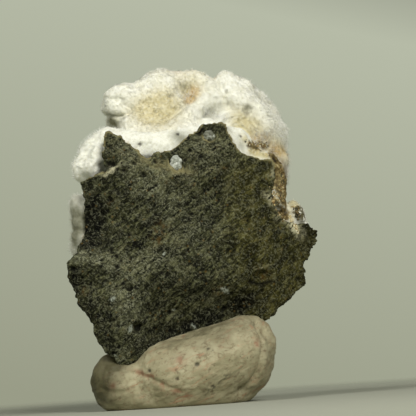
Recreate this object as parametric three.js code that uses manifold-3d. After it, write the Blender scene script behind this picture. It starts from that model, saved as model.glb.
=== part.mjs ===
import * as THREE from "three";
import { ImprovedNoise } from "three/addons/math/ImprovedNoise.js";
import { mergeVertices } from "three/addons/utils/BufferGeometryUtils.js";
import Module from "manifold-3d";

// A small-cabinet mineral specimen, in millimetres: a ball of okenite fibres in the crusted hollow
// of a basalt shard, standing in a lump of display putty.
// +X is to the right of someone who looks at the broken face, +Y away from them, +Z up.
// The origin is on the putty's flat foot, where the specimen stands on its shelf.

const wasm = await Module();
wasm.setup();
const noise = new ImprovedNoise();

// ---- Driving dimensions ----

const SEAT_GAP = 0.3; // clearance between two pieces that touch
const FACE_FRONT = 1.0; // depth of the shard's edge straight above the origin
const FACE_SLOPE = 0.26; // the broken face falls back this much per millimetre to the right
const FACE_DOME = { depth: 6, at: [5.6, 41], size: [36, 38] }; // the broken face's main bulge
const SHARD_CENTRE = [5.6, 38]; // x and z that every ring of the shard closes in on
const FACE_RINGS = [0.16, 0.32, 0.47, 0.6, 0.72, 0.82, 0.91, 1];
const BACK_RINGS = [0.22, 0.44, 0.65, 0.84, 1];
const EDGE_STEP = 3.2; // longest stretch of the shard's edge between two points
const ROUND_RING = 28; // radius of the circle that the rings tend to near the centre
const FIRST_POINT_TURN = 2.2; // direction in radians of the edge's first point from the centre
const PLATE = { edge: 2.2, middle: 4.6 }; // thickness of the shard behind its upper part
const BASE = { edge: 10, middle: 25 }; // thickness of the shard behind its lower part
const SHELF = { bottom: 34, top: 46 }; // heights between which the plate swells into the base
const BACK_BEVEL = { plate: 0.03, base: 0.12 }; // how much narrower the back is than the face
const BACK_BLUR = 5; // how many edge points each way the back of the base is rounded over

// The shard's edge, clockwise from the tip of its left peak, as [x, z].
const SHARD_EDGE = [
  // left peak, notch, middle peak
  [-13.9, 67.8], [-12.8, 68.8], [-11.6, 68.6], [-9.7, 67.5], [-7.6, 65.6], [-5.0, 62.5],
  [-3.1, 61.6], [-2.3, 63.5], [2.0, 63.5], [4.6, 65.3], [7.3, 67.5], [9.7, 69.2], [10.8, 70.6],
  [15.6, 70.6], [16.5, 69.3], [17.6, 66.7], [18.5, 64.1], [20.4, 62.5], [24.7, 60.8], [27.5, 60.5],
  // right side with its stepped spur
  [28.4, 58.1], [27.8, 54.3], [27.3, 50.4], [27.8, 47.3], [29.7, 44.7], [32.7, 43.5], [34.9, 43.9],
  [36.6, 43.3], [37.8, 41.7], [38.3, 40.4], [37.9, 38.9], [35.6, 35.9], [33.8, 33.4], [34.0, 32.2],
  [33.4, 31.2], [34.5, 29.3], [32.6, 27.1], [26.5, 22.1], [22.8, 19.5], [19.0, 17.5],
  // bottom, sunk in the putty, and the lower left tip
  [13.9, 16.0], [7.5, 14.9], [1.2, 14.1], [-5.0, 13.2], [-8.7, 12.0], [-11.7, 10.7], [-12.7, 10.8],
  [-14.3, 11.6], [-16.4, 14.2], [-18.6, 17.3], [-19.2, 19.6], [-20.5, 24.6], [-23.4, 28.9],
  // left point, left side and shoulder
  [-24.4, 31.6], [-25.0, 34.6], [-25.1, 36.4], [-24.6, 37.3], [-23.1, 38.0], [-21.8, 40.1],
  [-20.7, 42.8], [-20.2, 46.0], [-20.0, 52.2], [-21.0, 57.0], [-19.1, 57.4], [-16.1, 58.6],
  [-13.9, 58.7], [-14.1, 60.2], [-14.7, 61.6], [-14.6, 63.3],
];

// Swellings and hollows of the broken face: centre [x, z], half sizes along and across,
// turn in degrees, and how far out of the face each one comes.
const FACE_RELIEF = [
  { name: "lower left buttress", at: [-12, 20], size: [7, 13], turn: 0, out: 5.5 },
  { name: "left scoop", at: [-17, 46], size: [6, 9], turn: 0, out: -3.5 },
  { name: "left ledge", at: [-19.5, 36.5], size: [6, 3.2], turn: 0, out: 2.2 },
  { name: "middle swell", at: [7, 31], size: [13, 4.5], turn: -4, out: 2.4 },
  { name: "undercut", at: [5, 19.5], size: [13, 6], turn: 0, out: -3.2 },
  { name: "right valley", at: [15, 24], size: [5, 6], turn: 20, out: -2.6 },
  { name: "flow ridge", at: [1, 57.3], size: [13, 2.6], turn: -14, out: 1.7 },
  { name: "middle dip", at: [14.4, 52.9], size: [5, 4], turn: 0, out: -1.4 },
  { name: "upper dip", at: [6.8, 59], size: [4, 3], turn: 0, out: -1.4 },
  { name: "right swell", at: [24, 40], size: [7, 9], turn: 0, out: 1.6 },
];
const FACE_GRAIN = [
  { wave: 11, height: 0.8 },
  { wave: 4.6, height: 0.35 },
];
const BACK_GRAIN = [
  { wave: 12, height: 2.2 },
  { wave: 5.5, height: 0.9 },
];

// Gas bubbles that break through the face: [x, z], half sizes across, deep and up.
const VESICLES = [
  { at: [-8.6, 20], size: [1.2, 1.4, 1.7] },
  { at: [-10, 30.1], size: [0.9, 0.9, 0.9] },
  { at: [23.2, 31], size: [3, 1.3, 1.7] },
];

// Pale crystal fillings of two bubbles.
const AMYGDALES = [
  { name: "amygdale_upper", at: [3.4, 60.1], size: [1.5, 1.1, 2.1] },
  { name: "amygdale_peak", at: [12.1, 67], size: [1.4, 1, 1.4] },
];

// Rounded masses that make up the okenite ball: centre [x, behind, z] and half sizes, where
// behind is the distance behind the shard's broken face.
const BALL_CENTRE = [9, 21, 66];
const BALL_LOBES = [
  { name: "body", at: [8.5, 23.5, 64.5], size: [20.5, 18, 20] },
  { name: "upper left", at: [-2, 17.5, 74], size: [12, 12, 10.5] },
  { name: "nose", at: [-9, 14, 79], size: [6, 6, 4.6] },
  { name: "left crest", at: [0.5, 17, 79.5], size: [8.5, 9, 8] },
  { name: "middle crest", at: [8.5, 17, 78], size: [8, 9, 8.5] },
  { name: "right crest", at: [17.5, 16, 73.5], size: [10.5, 12, 11.7] },
  { name: "right shoulder", at: [22, 17, 68.5], size: [10, 12.5, 12.5] },
  { name: "right flank", at: [23.5, 18, 61], size: [9, 11.5, 12] },
  { name: "lower right", at: [22.5, 17, 54], size: [8, 8.5, 8] },
  { name: "upper back", at: [5, 28, 69], size: [15, 10, 13] },
  { name: "lower back", at: [14, 29.5, 58], size: [13, 9.5, 12] },
];
const BALL_DENTS = [
  { name: "under the nose", at: [-12.5, 10, 72.5], reach: 4.5, depth: 3 },
  { name: "cream hollow", at: [0.5, 5, 74], reach: 7, depth: 2.2 },
  { name: "stained hollow", at: [7.6, 7, 80], reach: 3.5, depth: 1.6 },
  { name: "crevice behind the middle peak", at: [13, 4, 73], reach: 4, depth: 2.5 },
  { name: "right hollow", at: [21.3, 5, 68], reach: 5, depth: 1.8 },
  { name: "crest valley", at: [13.6, 16, 85], reach: 3, depth: 2 },
];
const BALL_GRAIN = [
  { wave: 7, height: 0.9 },
  { wave: 3.4, height: 0.45 },
];

// The crust that lines the hollow: its bowl, and the lumps of its rim and of its spread behind
// the shard, measured as the ball's lobes are.
const CRUST_CENTRE = [5, 21, 60];
const CRUST_BOWL = { at: [6.5, 23, 61], size: [24, 19.8, 23] };
const CRUST_OPENING = [0.05, 0.62, 0.78]; // the way the bowl faces, up and to the back
const CRUST_LIP = { full: -0.12, gone: 0.05 }; // where the bowl ends, as a cosine from that way
const CRUST_LUMPS = [
  { name: "notch 1", at: [-10, 7.5, 66.4], size: [5.4, 5.5, 4.9] },
  { name: "notch 2", at: [-5, 7.5, 64.6], size: [6, 5.5, 5.2] },
  { name: "notch 3", at: [0, 7.5, 64.8], size: [6, 5.5, 5.2] },
  { name: "notch 4", at: [5, 7, 66.4], size: [6, 5, 5] },
  { name: "behind the middle peak", at: [11, 7, 68.2], size: [6, 4.5, 4.2] },
  { name: "right of the middle peak", at: [18.2, 6.5, 65.6], size: [4.5, 4.5, 5] },
  { name: "right shoulder", at: [24.5, 7, 60], size: [5.5, 5, 4.2] },
  { name: "right margin, top", at: [27.8, 8, 56], size: [3.4, 6, 6] },
  { name: "right margin, bottom", at: [27.6, 8, 49.5], size: [3, 6, 6] },
  { name: "left back, top", at: [-13.5, 13, 57], size: [5.6, 6, 7] },
  { name: "left back", at: [-12.5, 19, 49], size: [6.5, 9, 9] },
  { name: "lower left back", at: [-7, 25, 44.5], size: [9, 9, 5.5] },
  { name: "lower back", at: [6, 28, 42.5], size: [13, 9, 4.5] },
  { name: "lower right back", at: [19, 24, 44.5], size: [9.5, 8.5, 5.5] },
  { name: "right back", at: [25.8, 17, 50.5], size: [5, 8, 8] },
];
// Lumps that stand out past the shard's edge.
const CRUST_KNOBS = [
  { name: "shoulder, left", at: [-18.6, 8, 60.9], size: [4.2, 4.5, 3.7] },
  { name: "shoulder, middle", at: [-16.4, 9, 64], size: [4.7, 5.5, 4.6] },
  { name: "shoulder, right", at: [-13.4, 9.5, 67], size: [4.9, 5.5, 4.4] },
  { name: "left edge, top", at: [-19, 10, 47.9], size: [5, 5.5, 6] },
  { name: "left edge, bottom", at: [-19.8, 10, 42.2], size: [4.4, 5.5, 5] },
  { name: "knob, root", at: [29, 8, 44], size: [4.6, 5, 3.6] },
  { name: "knob", at: [32.3, 7, 46], size: [3, 3.6, 4.2] },
  { name: "knob, end", at: [33.6, 7, 43.8], size: [2.5, 2.8, 3] },
];
const CRUST_GRAIN = [
  { wave: 5, height: 0.8 },
  { wave: 2.6, height: 0.35 },
];

// The putty: a fat roll that rises to the right, folded over a smaller one, and a support behind.
const PUTTY_CENTRE = [3, 3, 7];
const PUTTY_LOBES = [
  { name: "main roll", at: [6.8, -1.5, 9.7], size: [19.5, 13, 9.4], turn: 19 },
  { name: "middle of the main roll", at: [-0.8, -2.5, 8.6], size: [9.4, 11.5, 8] },
  { name: "left roll", at: [-12.3, 1.5, 6.3], size: [9.4, 10.5, 7.9] },
  { name: "right end", at: [16.6, 2.5, 10.6], size: [8, 12, 9] },
  { name: "right crest", at: [18, 0.5, 14.6], size: [6.4, 9.5, 6.8] },
  { name: "foot", at: [0.5, 4, 2], size: [19, 15, 5] },
  { name: "rear support", at: [4, 14, 8], size: [17, 13, 9.5] },
];
const PUTTY_GRAIN = [{ wave: 9, height: 0.35 }];

// ---- Tools for closed meshes ----

const lerp = THREE.MathUtils.lerp;
const smoothstep = THREE.MathUtils.smoothstep;
const toRadians = THREE.MathUtils.degToRad;

function solidFrom(geometry) {
  const bare = geometry.clone();
  bare.deleteAttribute("normal");
  bare.deleteAttribute("uv");
  const merged = mergeVertices(bare, 1e-4);
  const vertProperties = merged.attributes.position.array;
  const triVerts = new Uint32Array(merged.index.array);
  return new wasm.Manifold(new wasm.Mesh({ numProp: 3, vertProperties, triVerts }));
}

function geometryFrom(solid) {
  const mesh = solid.getMesh();
  const geometry = new THREE.BufferGeometry();
  const points = new Float32Array(mesh.numVert * 3);
  for (let i = 0; i < mesh.numVert; i++) {
    points.set(mesh.vertProperties.subarray(i * mesh.numProp, i * mesh.numProp + 3), i * 3);
  }
  geometry.setAttribute("position", new THREE.BufferAttribute(points, 3));
  geometry.setIndex(new THREE.BufferAttribute(mesh.triVerts, 1));
  return geometry;
}

function largestBody(solid) {
  const bodies = solid.decompose();
  return bodies.reduce((best, body) => (body.volume() > best.volume() ? body : best));
}

// The solid with the seat gap round it: every point moved out along its normal, and the solid
// itself added back where a tight corner folds over.
function withSeatGap(solid) {
  const geometry = geometryFrom(solid);
  geometry.computeVertexNormals();
  const position = geometry.attributes.position;
  const normal = geometry.attributes.normal;
  for (let i = 0; i < position.count; i++) {
    position.setXYZ(
      i,
      position.getX(i) + normal.getX(i) * SEAT_GAP,
      position.getY(i) + normal.getY(i) * SEAT_GAP,
      position.getZ(i) + normal.getZ(i) * SEAT_GAP,
    );
  }
  return solidFrom(geometry).add(solid);
}

function grainAt(point, layers) {
  let height = 0;
  layers.forEach((layer, k) => {
    const shift = 17.3 * (k + 1);
    const n = noise.noise(point.x / layer.wave + shift, point.y / layer.wave, point.z / layer.wave);
    height += layer.height * n;
  });
  return height;
}

// Distance from start along way to where the ray leaves the ellipsoid, or 0 where it misses.
function distanceOut(lobe, start, way) {
  const size = new THREE.Vector3(...lobe.size);
  const offset = start.clone().sub(new THREE.Vector3(...lobe.at));
  const ray = way.clone();
  if (lobe.turn) {
    const axis = new THREE.Vector3(0, 1, 0);
    offset.applyAxisAngle(axis, toRadians(lobe.turn));
    ray.applyAxisAngle(axis, toRadians(lobe.turn));
  }
  offset.divide(size);
  ray.divide(size);
  const a = ray.dot(ray);
  const b = offset.dot(ray);
  const c = offset.dot(offset) - 1;
  const root = b * b - a * c;
  return root > 0 ? Math.max(0, (Math.sqrt(root) - b) / a) : 0;
}

// One closed surface round a centre: as far out as the outermost lobe, softened where lobes meet.
function lumpyBody({ centre, lobes, dents = [], grain, rings, softness = 1.6, extra }) {
  const geometry = new THREE.IcosahedronGeometry(1, rings);
  const position = geometry.attributes.position;
  const start = new THREE.Vector3(...centre);
  for (let i = 0; i < position.count; i++) {
    const way = new THREE.Vector3().fromBufferAttribute(position, i).normalize();
    const reaches = lobes.map((lobe) => distanceOut(lobe, start, way));
    if (extra) reaches.push(extra(start, way));
    const farthest = Math.max(...reaches);
    const blend = reaches.reduce((sum, reach) => sum + Math.exp((reach - farthest) * softness), 0);
    let radius = farthest + Math.log(blend) / softness;
    const point = start.clone().addScaledVector(way, radius);
    for (const dent of dents) {
      const away = point.distanceTo(new THREE.Vector3(...dent.at)) / dent.reach;
      radius -= dent.depth * Math.exp(-away * away);
    }
    radius += grainAt(point, grain);
    position.setXYZ(i, ...start.clone().addScaledVector(way, radius).toArray());
  }
  return solidFrom(geometry);
}

function pebble(at, size, detail, roughness, seed) {
  const geometry = new THREE.IcosahedronGeometry(1, detail);
  const position = geometry.attributes.position;
  for (let i = 0; i < position.count; i++) {
    const p = new THREE.Vector3().fromBufferAttribute(position, i);
    const swell = 1 + roughness * noise.noise(p.x * 1.7 + seed, p.y * 1.7 - seed, p.z * 1.7);
    position.setXYZ(
      i,
      at[0] + p.x * size[0] * swell,
      at[1] + p.y * size[1] * swell,
      at[2] + p.z * size[2] * swell,
    );
  }
  return solidFrom(geometry);
}

// ---- The basalt shard ----

// The edge with its long stretches divided.
function dividedEdge() {
  return SHARD_EDGE.flatMap(([x, z], i) => {
    const [nextX, nextZ] = SHARD_EDGE[(i + 1) % SHARD_EDGE.length];
    const parts = Math.ceil(Math.hypot(nextX - x, nextZ - z) / EDGE_STEP);
    return Array.from({ length: parts }, (_, k) => [
      lerp(x, nextX, k / parts),
      lerp(z, nextZ, k / parts),
    ]);
  });
}

const edge = dividedEdge();

function reliefAt(x, z) {
  return FACE_RELIEF.reduce((sum, { at, size, turn, out }) => {
    const angle = toRadians(turn);
    const [dx, dz] = [x - at[0], z - at[1]];
    const along = (dx * Math.cos(angle) + dz * Math.sin(angle)) / size[0];
    const across = (dz * Math.cos(angle) - dx * Math.sin(angle)) / size[1];
    return sum + out * Math.exp(-along * along - across * across);
  }, 0);
}

// The broken face as one smooth bulging sheet.
function sheetDepth(x, z) {
  const across = (x - FACE_DOME.at[0]) / FACE_DOME.size[0];
  const up = (z - FACE_DOME.at[1]) / FACE_DOME.size[1];
  const dome = FACE_DOME.depth * Math.max(0, 1 - across * across - up * up);
  return FACE_FRONT + FACE_SLOPE * x - dome;
}

function faceDepth(x, z) {
  return sheetDepth(x, z) - reliefAt(x, z) - grainAt(new THREE.Vector3(x, 0, z), FACE_GRAIN);
}

// 0 in the thin upper plate, 1 in the thick base.
function baseShare(z) {
  return 1 - smoothstep(z, SHELF.bottom, SHELF.top);
}

function thicknessAt(x, z, out) {
  const low = baseShare(z);
  const atEdge = lerp(PLATE.edge, BASE.edge, low);
  const inMiddle = lerp(PLATE.middle, BASE.middle, low);
  const grain = grainAt(new THREE.Vector3(x, 40, z), BACK_GRAIN);
  return lerp(inMiddle, atEdge, out ** 3) + grain * (1 - out ** 4) * lerp(0.3, 1, low);
}

// The edge as it is at the back: drawn in, and in the base rounded over its neighbours.
function backEdge() {
  const [cx, cz] = SHARD_CENTRE;
  return edge.map(([x, z], i) => {
    const low = baseShare(z);
    let [sumX, sumZ] = [0, 0];
    for (let k = -BACK_BLUR; k <= BACK_BLUR; k++) {
      const [nx, nz] = edge[(i + k + edge.length) % edge.length];
      sumX += nx;
      sumZ += nz;
    }
    const kept = 1 - lerp(BACK_BEVEL.plate, BACK_BEVEL.base, low);
    const roundX = lerp(x, sumX / (2 * BACK_BLUR + 1), low);
    const roundZ = lerp(z, sumZ / (2 * BACK_BLUR + 1), low);
    return [lerp(cx, roundX, kept), lerp(cz, roundZ, kept)];
  });
}

// Rings of points from the middle of the face to the edge, over it, and to the middle of the back.
function shardGeometry() {
  const [cx, cz] = SHARD_CENTRE;
  const points = [];
  const addRing = (outline, out, depth) => {
    outline.forEach(([ex, ez], i) => {
      const turn = FIRST_POINT_TURN - (2 * Math.PI * i) / outline.length;
      const x = cx + out * lerp(ROUND_RING * Math.cos(turn), ex - cx, out);
      const z = cz + out * lerp(ROUND_RING * Math.sin(turn), ez - cz, out);
      points.push(x, depth(x, z, out), z);
    });
  };
  const backDepth = (x, z, out) => faceDepth(x, z) + thicknessAt(x, z, out);
  const back = backEdge();
  points.push(cx, faceDepth(cx, cz), cz);
  FACE_RINGS.forEach((out) => addRing(edge, out, faceDepth));
  BACK_RINGS.toReversed().forEach((out) => addRing(back, out, backDepth));
  points.push(cx, backDepth(cx, cz, 0), cz);

  const count = edge.length;
  const ringCount = FACE_RINGS.length + BACK_RINGS.length;
  const last = 1 + ringCount * count;
  const triangles = [];
  for (let i = 0; i < count; i++) {
    const j = (i + 1) % count;
    triangles.push(0, 1 + j, 1 + i);
    for (let ring = 0; ring < ringCount - 1; ring++) {
      const inner = 1 + ring * count;
      const outer = inner + count;
      triangles.push(inner + i, outer + j, outer + i, inner + i, inner + j, outer + j);
    }
    const lastRing = 1 + (ringCount - 1) * count;
    triangles.push(lastRing + i, lastRing + j, last);
  }
  const geometry = new THREE.BufferGeometry();
  geometry.setAttribute("position", new THREE.Float32BufferAttribute(points, 3));
  geometry.setIndex(triangles);
  return geometry;
}

function onFace([x, z]) {
  return [x, faceDepth(x, z), z];
}

function basaltMatrix() {
  let shard = solidFrom(shardGeometry());
  VESICLES.forEach(({ at, size }, k) => {
    shard = shard.subtract(pebble(onFace(at), size, 1, 0.25, k));
  });
  AMYGDALES.forEach(({ at, size }, k) => {
    shard = shard.subtract(pebble(onFace(at), size.map((s) => s + SEAT_GAP), 1, 0.2, k));
  });
  return largestBody(shard);
}

// ---- What grew on it, and what holds it ----

function behindFace([x, behind, z]) {
  return [x, sheetDepth(x, z) + behind, z];
}

function placed(lobe) {
  return { ...lobe, at: behindFace(lobe.at) };
}

function okenitePuffball(basalt) {
  const ball = lumpyBody({
    centre: behindFace(BALL_CENTRE),
    lobes: BALL_LOBES.map(placed),
    dents: BALL_DENTS.map(placed),
    grain: BALL_GRAIN,
    rings: 8,
  });
  return largestBody(ball.subtract(withSeatGap(basalt)));
}

function vugCrust(basalt, ball) {
  const opening = new THREE.Vector3(...CRUST_OPENING).normalize();
  const bowl = (start, way) => {
    const kept = 1 - smoothstep(way.dot(opening), CRUST_LIP.full, CRUST_LIP.gone);
    return distanceOut(placed(CRUST_BOWL), start, way) * lerp(0.6, 1, kept);
  };
  const crust = lumpyBody({
    centre: behindFace(CRUST_CENTRE),
    lobes: CRUST_LUMPS.map(placed),
    grain: CRUST_GRAIN,
    rings: 6,
    softness: 2.5,
    extra: bowl,
  });
  const knobs = CRUST_KNOBS.map(placed).map(({ at, size }, k) => pebble(at, size, 2, 0.3, k));
  const whole = knobs.reduce((sum, knob) => sum.add(knob), crust);
  return largestBody(whole.subtract(withSeatGap(ball)).subtract(withSeatGap(basalt)));
}

function mountingPutty(basalt, crust) {
  const putty = lumpyBody({
    centre: PUTTY_CENTRE,
    lobes: PUTTY_LOBES,
    grain: PUTTY_GRAIN,
    rings: 6,
    softness: 2,
  });
  const below = solidFrom(new THREE.BoxGeometry(100, 100, 20).translate(0, 0, -10));
  const seated = putty.subtract(below).subtract(withSeatGap(basalt));
  return largestBody(seated.subtract(withSeatGap(crust)));
}

function amygdale({ at, size }, k) {
  return pebble(onFace(at), size, 1, 0.2, k);
}

// ---- The specimen ----

const STONE = { color: 0x3f4030, roughness: 0.9, metalness: 0 };
const OKENITE = { color: 0xe8e4d2, roughness: 0.95, metalness: 0 };
const CRUST = { color: 0xe4e1d0, roughness: 0.8, metalness: 0 };
const CRYSTAL = { color: 0xb9b9b2, roughness: 0.4, metalness: 0 };
const PUTTY = { color: 0xb0a47f, roughness: 0.7, metalness: 0 };

function piece(name, solid, finish) {
  const geometry = geometryFrom(solid);
  geometry.computeVertexNormals();
  const mesh = new THREE.Mesh(geometry, new THREE.MeshStandardMaterial(finish));
  mesh.name = name;
  return mesh;
}

const basalt = basaltMatrix();
const ball = okenitePuffball(basalt);
const crust = vugCrust(basalt, ball);
const putty = mountingPutty(basalt, crust);

const specimen = new THREE.Group();
specimen.add(piece("basalt_matrix", basalt, STONE));
specimen.add(piece("okenite_puffball", ball, OKENITE));
specimen.add(piece("vug_crust", crust, CRUST));
AMYGDALES.forEach((filling, k) => {
  specimen.add(piece(filling.name, amygdale(filling, k), CRYSTAL));
});
specimen.add(piece("mounting_putty", putty, PUTTY));

export default specimen;
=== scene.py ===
import functools
import itertools
import math

import bpy
import numpy as np
from mathutils import Matrix, Vector
from mathutils.bvhtree import BVHTree

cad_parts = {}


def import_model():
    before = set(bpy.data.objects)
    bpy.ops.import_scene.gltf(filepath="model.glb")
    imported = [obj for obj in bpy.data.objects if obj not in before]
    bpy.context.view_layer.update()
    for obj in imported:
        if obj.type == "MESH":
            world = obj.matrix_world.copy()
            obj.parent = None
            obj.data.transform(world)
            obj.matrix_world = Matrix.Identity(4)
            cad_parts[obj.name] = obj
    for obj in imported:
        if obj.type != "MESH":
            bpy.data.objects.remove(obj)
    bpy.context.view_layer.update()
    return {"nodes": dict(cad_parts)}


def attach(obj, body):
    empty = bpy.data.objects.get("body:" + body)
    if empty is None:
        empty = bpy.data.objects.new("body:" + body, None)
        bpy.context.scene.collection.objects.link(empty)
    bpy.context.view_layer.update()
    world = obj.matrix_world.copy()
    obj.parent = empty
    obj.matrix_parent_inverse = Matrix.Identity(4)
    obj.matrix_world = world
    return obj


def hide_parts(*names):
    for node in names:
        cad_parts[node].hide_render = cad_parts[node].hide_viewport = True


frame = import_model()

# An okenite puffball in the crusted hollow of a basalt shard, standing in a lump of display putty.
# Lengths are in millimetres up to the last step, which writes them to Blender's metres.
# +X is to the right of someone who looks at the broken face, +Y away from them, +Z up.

MM = 0.001
rng = np.random.default_rng(20)


# ---- Noise ----

CELLS = 256
SHUFFLE = np.tile(np.random.default_rng(3).permutation(CELLS), 3)
GRADIENTS = np.random.default_rng(4).normal(size=(CELLS, 3))
GRADIENTS /= np.linalg.norm(GRADIENTS, axis=1, keepdims=True)
SPOTS = np.random.default_rng(5).random((CELLS, 4))  # a place in its cell and a number of its own
NOISE_GAIN = 1.7  # brings the noise to about -1 to 1


def dot(first, second):
    """The dot product of each row with the same row of the other."""
    return np.einsum("ij,ij->i", first, second)


def cell_keys(cell):
    """A number from 0 to 255 for each whole-numbered cell."""
    x, y, z = (cell & (CELLS - 1)).T
    return SHUFFLE[SHUFFLE[SHUFFLE[x] + y] + z]


def smooth_noise(points, wave, seed=0):
    """Gradient noise of about -1 to 1 with the given wavelength, one number or one for each axis."""
    scaled = points / np.asarray(wave, float) + seed * np.array([7.31, 3.17, 5.73])
    cell = np.floor(scaled).astype(int)
    part = scaled - cell
    fade = part**3 * (part * (part * 6 - 15) + 10)
    total = np.zeros(len(points))
    for corner in itertools.product((0, 1), repeat=3):
        offset = part - corner
        weight = np.prod(np.where(corner, fade, 1 - fade), axis=1)
        total += weight * dot(GRADIENTS[cell_keys(cell + corner)], offset)
    return total * NOISE_GAIN


def rough_noise(points, wave, octaves, seed=0, keep=0.5):
    """Octaves of smooth noise, each half the wavelength and keep times the height of the last."""
    layers = [
        keep**k * smooth_noise(points, np.asarray(wave, float) / 2**k, seed + k)
        for k in range(octaves)
    ]
    return sum(layers)


def nearest_spot(points, wave, seed=0):
    """Distance to the nearest of one random spot in each cell, its own number and the way to it."""
    scaled = points / wave + seed * np.array([2.9, 8.3, 4.1])
    cell = np.floor(scaled).astype(int)
    best = np.full(len(points), 9.0)
    number = np.zeros(len(points))
    way = np.zeros(points.shape)
    for offset in itertools.product((-1, 0, 1), repeat=3):
        spots = SPOTS[cell_keys(cell + offset)]
        toward = cell + offset + spots[:, :3] - scaled
        away = np.linalg.norm(toward, axis=1)
        closer = away < best
        best[closer] = away[closer]
        number[closer] = spots[closer, 3]
        way[closer] = toward[closer]
    return best * wave, number, way * wave


# ---- Shapes by formula ----


def ramp(value, low, high):
    """0 up to low, 1 from high, and an easy rise between them."""
    share = np.clip((value - low) / (high - low), 0, 1)
    return share * share * (3 - 2 * share)


def blob(points, at, size):
    """1 at a place and fading out over size, one number or one for each axis."""
    return np.exp(-np.sum(((points - np.array(at)) / size) ** 2, axis=1))


def turned(x, z, turn):
    """How far x and z lie along and across a direction in the plane of the broken face."""
    angle = math.radians(turn)
    return x * math.cos(angle) + z * math.sin(angle), z * math.cos(angle) - x * math.sin(angle)


def face_blob(points, at, size, turn=0):
    """A blob in the plane of the broken face: at is x and z, size is along and across."""
    along, across = turned(points[:, 0] - at[0], points[:, 2] - at[1], turn)
    return np.exp(-((along / size[0]) ** 2) - (across / size[1]) ** 2)


def face_blobs(points, rows):
    """Face blobs added up: x, z, size along and across, turn and, if not 1, strength."""
    return sum(
        math.prod(strength) * face_blob(points, (x, z), (along, across), turn)
        for x, z, along, across, turn, *strength in rows
    )


def from_path(points, path):
    """Distance in x and z from each point to a line through the path's points."""
    flat = points[:, [0, 2]]
    best = np.full(len(points), np.inf)
    for start, end in zip(path[:-1], path[1:]):
        start = np.array(start, float)
        run = np.array(end, float) - start
        share = np.clip((flat - start) @ run / (run @ run), 0, 1)
        away = np.linalg.norm(flat - start - share[:, None] * run, axis=1)
        best = np.minimum(best, away)
    return best


def line_mark(points, path, width):
    """1 on the path and fading out over width."""
    return np.exp(-((from_path(points, path) / width) ** 2))


# ---- Meshes ----


def new_piece(name, mesh, node=None):
    """Puts a mesh into the scene as a piece, in the place of a node if it replaces one."""
    piece = bpy.data.objects.new(name, mesh)
    bpy.context.scene.collection.objects.link(piece)
    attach(piece, "root")
    if node:
        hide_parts(node)
    return piece


def even_skin(node, voxel, smoothing):
    """The node's solid as a mesh of even faces, with the facets of the solid smoothed away."""
    source = bpy.data.objects.new("source", frame["nodes"][node].data.copy())
    bpy.context.scene.collection.objects.link(source)
    remesh = source.modifiers.new("even", "REMESH")
    remesh.mode = "VOXEL"
    remesh.voxel_size = voxel * MM
    smooth = source.modifiers.new("smooth", "SMOOTH")
    smooth.factor = 0.5
    smooth.iterations = smoothing
    evaluated = source.evaluated_get(bpy.context.evaluated_depsgraph_get())
    mesh = bpy.data.meshes.new_from_object(evaluated)
    bpy.data.objects.remove(source)
    mesh.name = node
    mesh.materials.clear()
    return mesh


def read_points(mesh):
    points = np.empty(len(mesh.vertices) * 3)
    mesh.vertices.foreach_get("co", points)
    return points.reshape(-1, 3) / MM


def read_normals(mesh):
    normals = np.empty(len(mesh.vertices) * 3)
    mesh.vertices.foreach_get("normal", normals)
    return normals.reshape(-1, 3)


def write_points(mesh, points):
    mesh.vertices.foreach_set("co", (points * MM).ravel())
    mesh.update()


def push_out(mesh, distance):
    """Moves each point along its normal and returns the new points."""
    points = read_points(mesh) + read_normals(mesh) * distance[:, None]
    write_points(mesh, points)
    return points


def write_masks(mesh, **masks):
    """Numbers from 0 to 1 for the points, which a material reads by name."""
    for name, values in masks.items():
        mask = mesh.attributes.new(name, "FLOAT", "POINT")
        mask.data.foreach_set("value", np.clip(values, 0, 1).astype(np.float32))


def mesh_from(name, points, faces):
    """A mesh from points in millimetres and faces that all have as many corners."""
    mesh = bpy.data.meshes.new(name)
    corners = faces.shape[1]
    mesh.vertices.add(len(points))
    mesh.vertices.foreach_set("co", (points * MM).ravel())
    mesh.loops.add(faces.size)
    mesh.loops.foreach_set("vertex_index", faces.ravel().astype(np.int32))
    mesh.polygons.add(len(faces))
    mesh.polygons.foreach_set("loop_start", np.arange(0, faces.size, corners, dtype=np.int32))
    mesh.update(calc_edges=True)
    return mesh


# The corners and sides of a small crystal.
BLOCK = np.array(list(itertools.product((-1, 1), repeat=3)), float)
BLOCK_FACES = np.array(
    [(0, 1, 3, 2), (4, 6, 7, 5), (0, 4, 5, 1), (2, 3, 7, 6), (0, 2, 6, 4), (1, 5, 7, 3)]
)


def shade_smooth(mesh):
    mesh.polygons.foreach_set("use_smooth", np.ones(len(mesh.polygons), bool))


def tree_of(mesh):
    """A search tree of a mesh, in metres."""
    faces = [tuple(face.vertices) for face in mesh.polygons]
    return BVHTree.FromPolygons([vertex.co for vertex in mesh.vertices], faces)


def distance_to(tree, points, reach):
    """Distance from each point to the tree's surface, up to reach."""
    found = (tree.find_nearest(Vector(point), reach * MM)[3] for point in points * MM)
    return np.array([reach if away is None else away / MM for away in found])


# ---- Materials ----


def srgb(red, green, blue):
    """A colour of 0 to 255 as Blender's linear colour."""
    shares = [value / 255 for value in (red, green, blue)]
    linear = [s / 12.92 if s <= 0.04045 else ((s + 0.055) / 1.055) ** 2.4 for s in shares]
    return (*linear, 1)


def fill_ramp(node, stops):
    """Gives a colour ramp its stops: (value, colour) pairs."""
    elements = node.color_ramp.elements
    while len(elements) < len(stops):
        elements.new(0.5)
    for element, (value, colour) in zip(elements, stops):
        element.position = value
        element.color = srgb(*colour)


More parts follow.
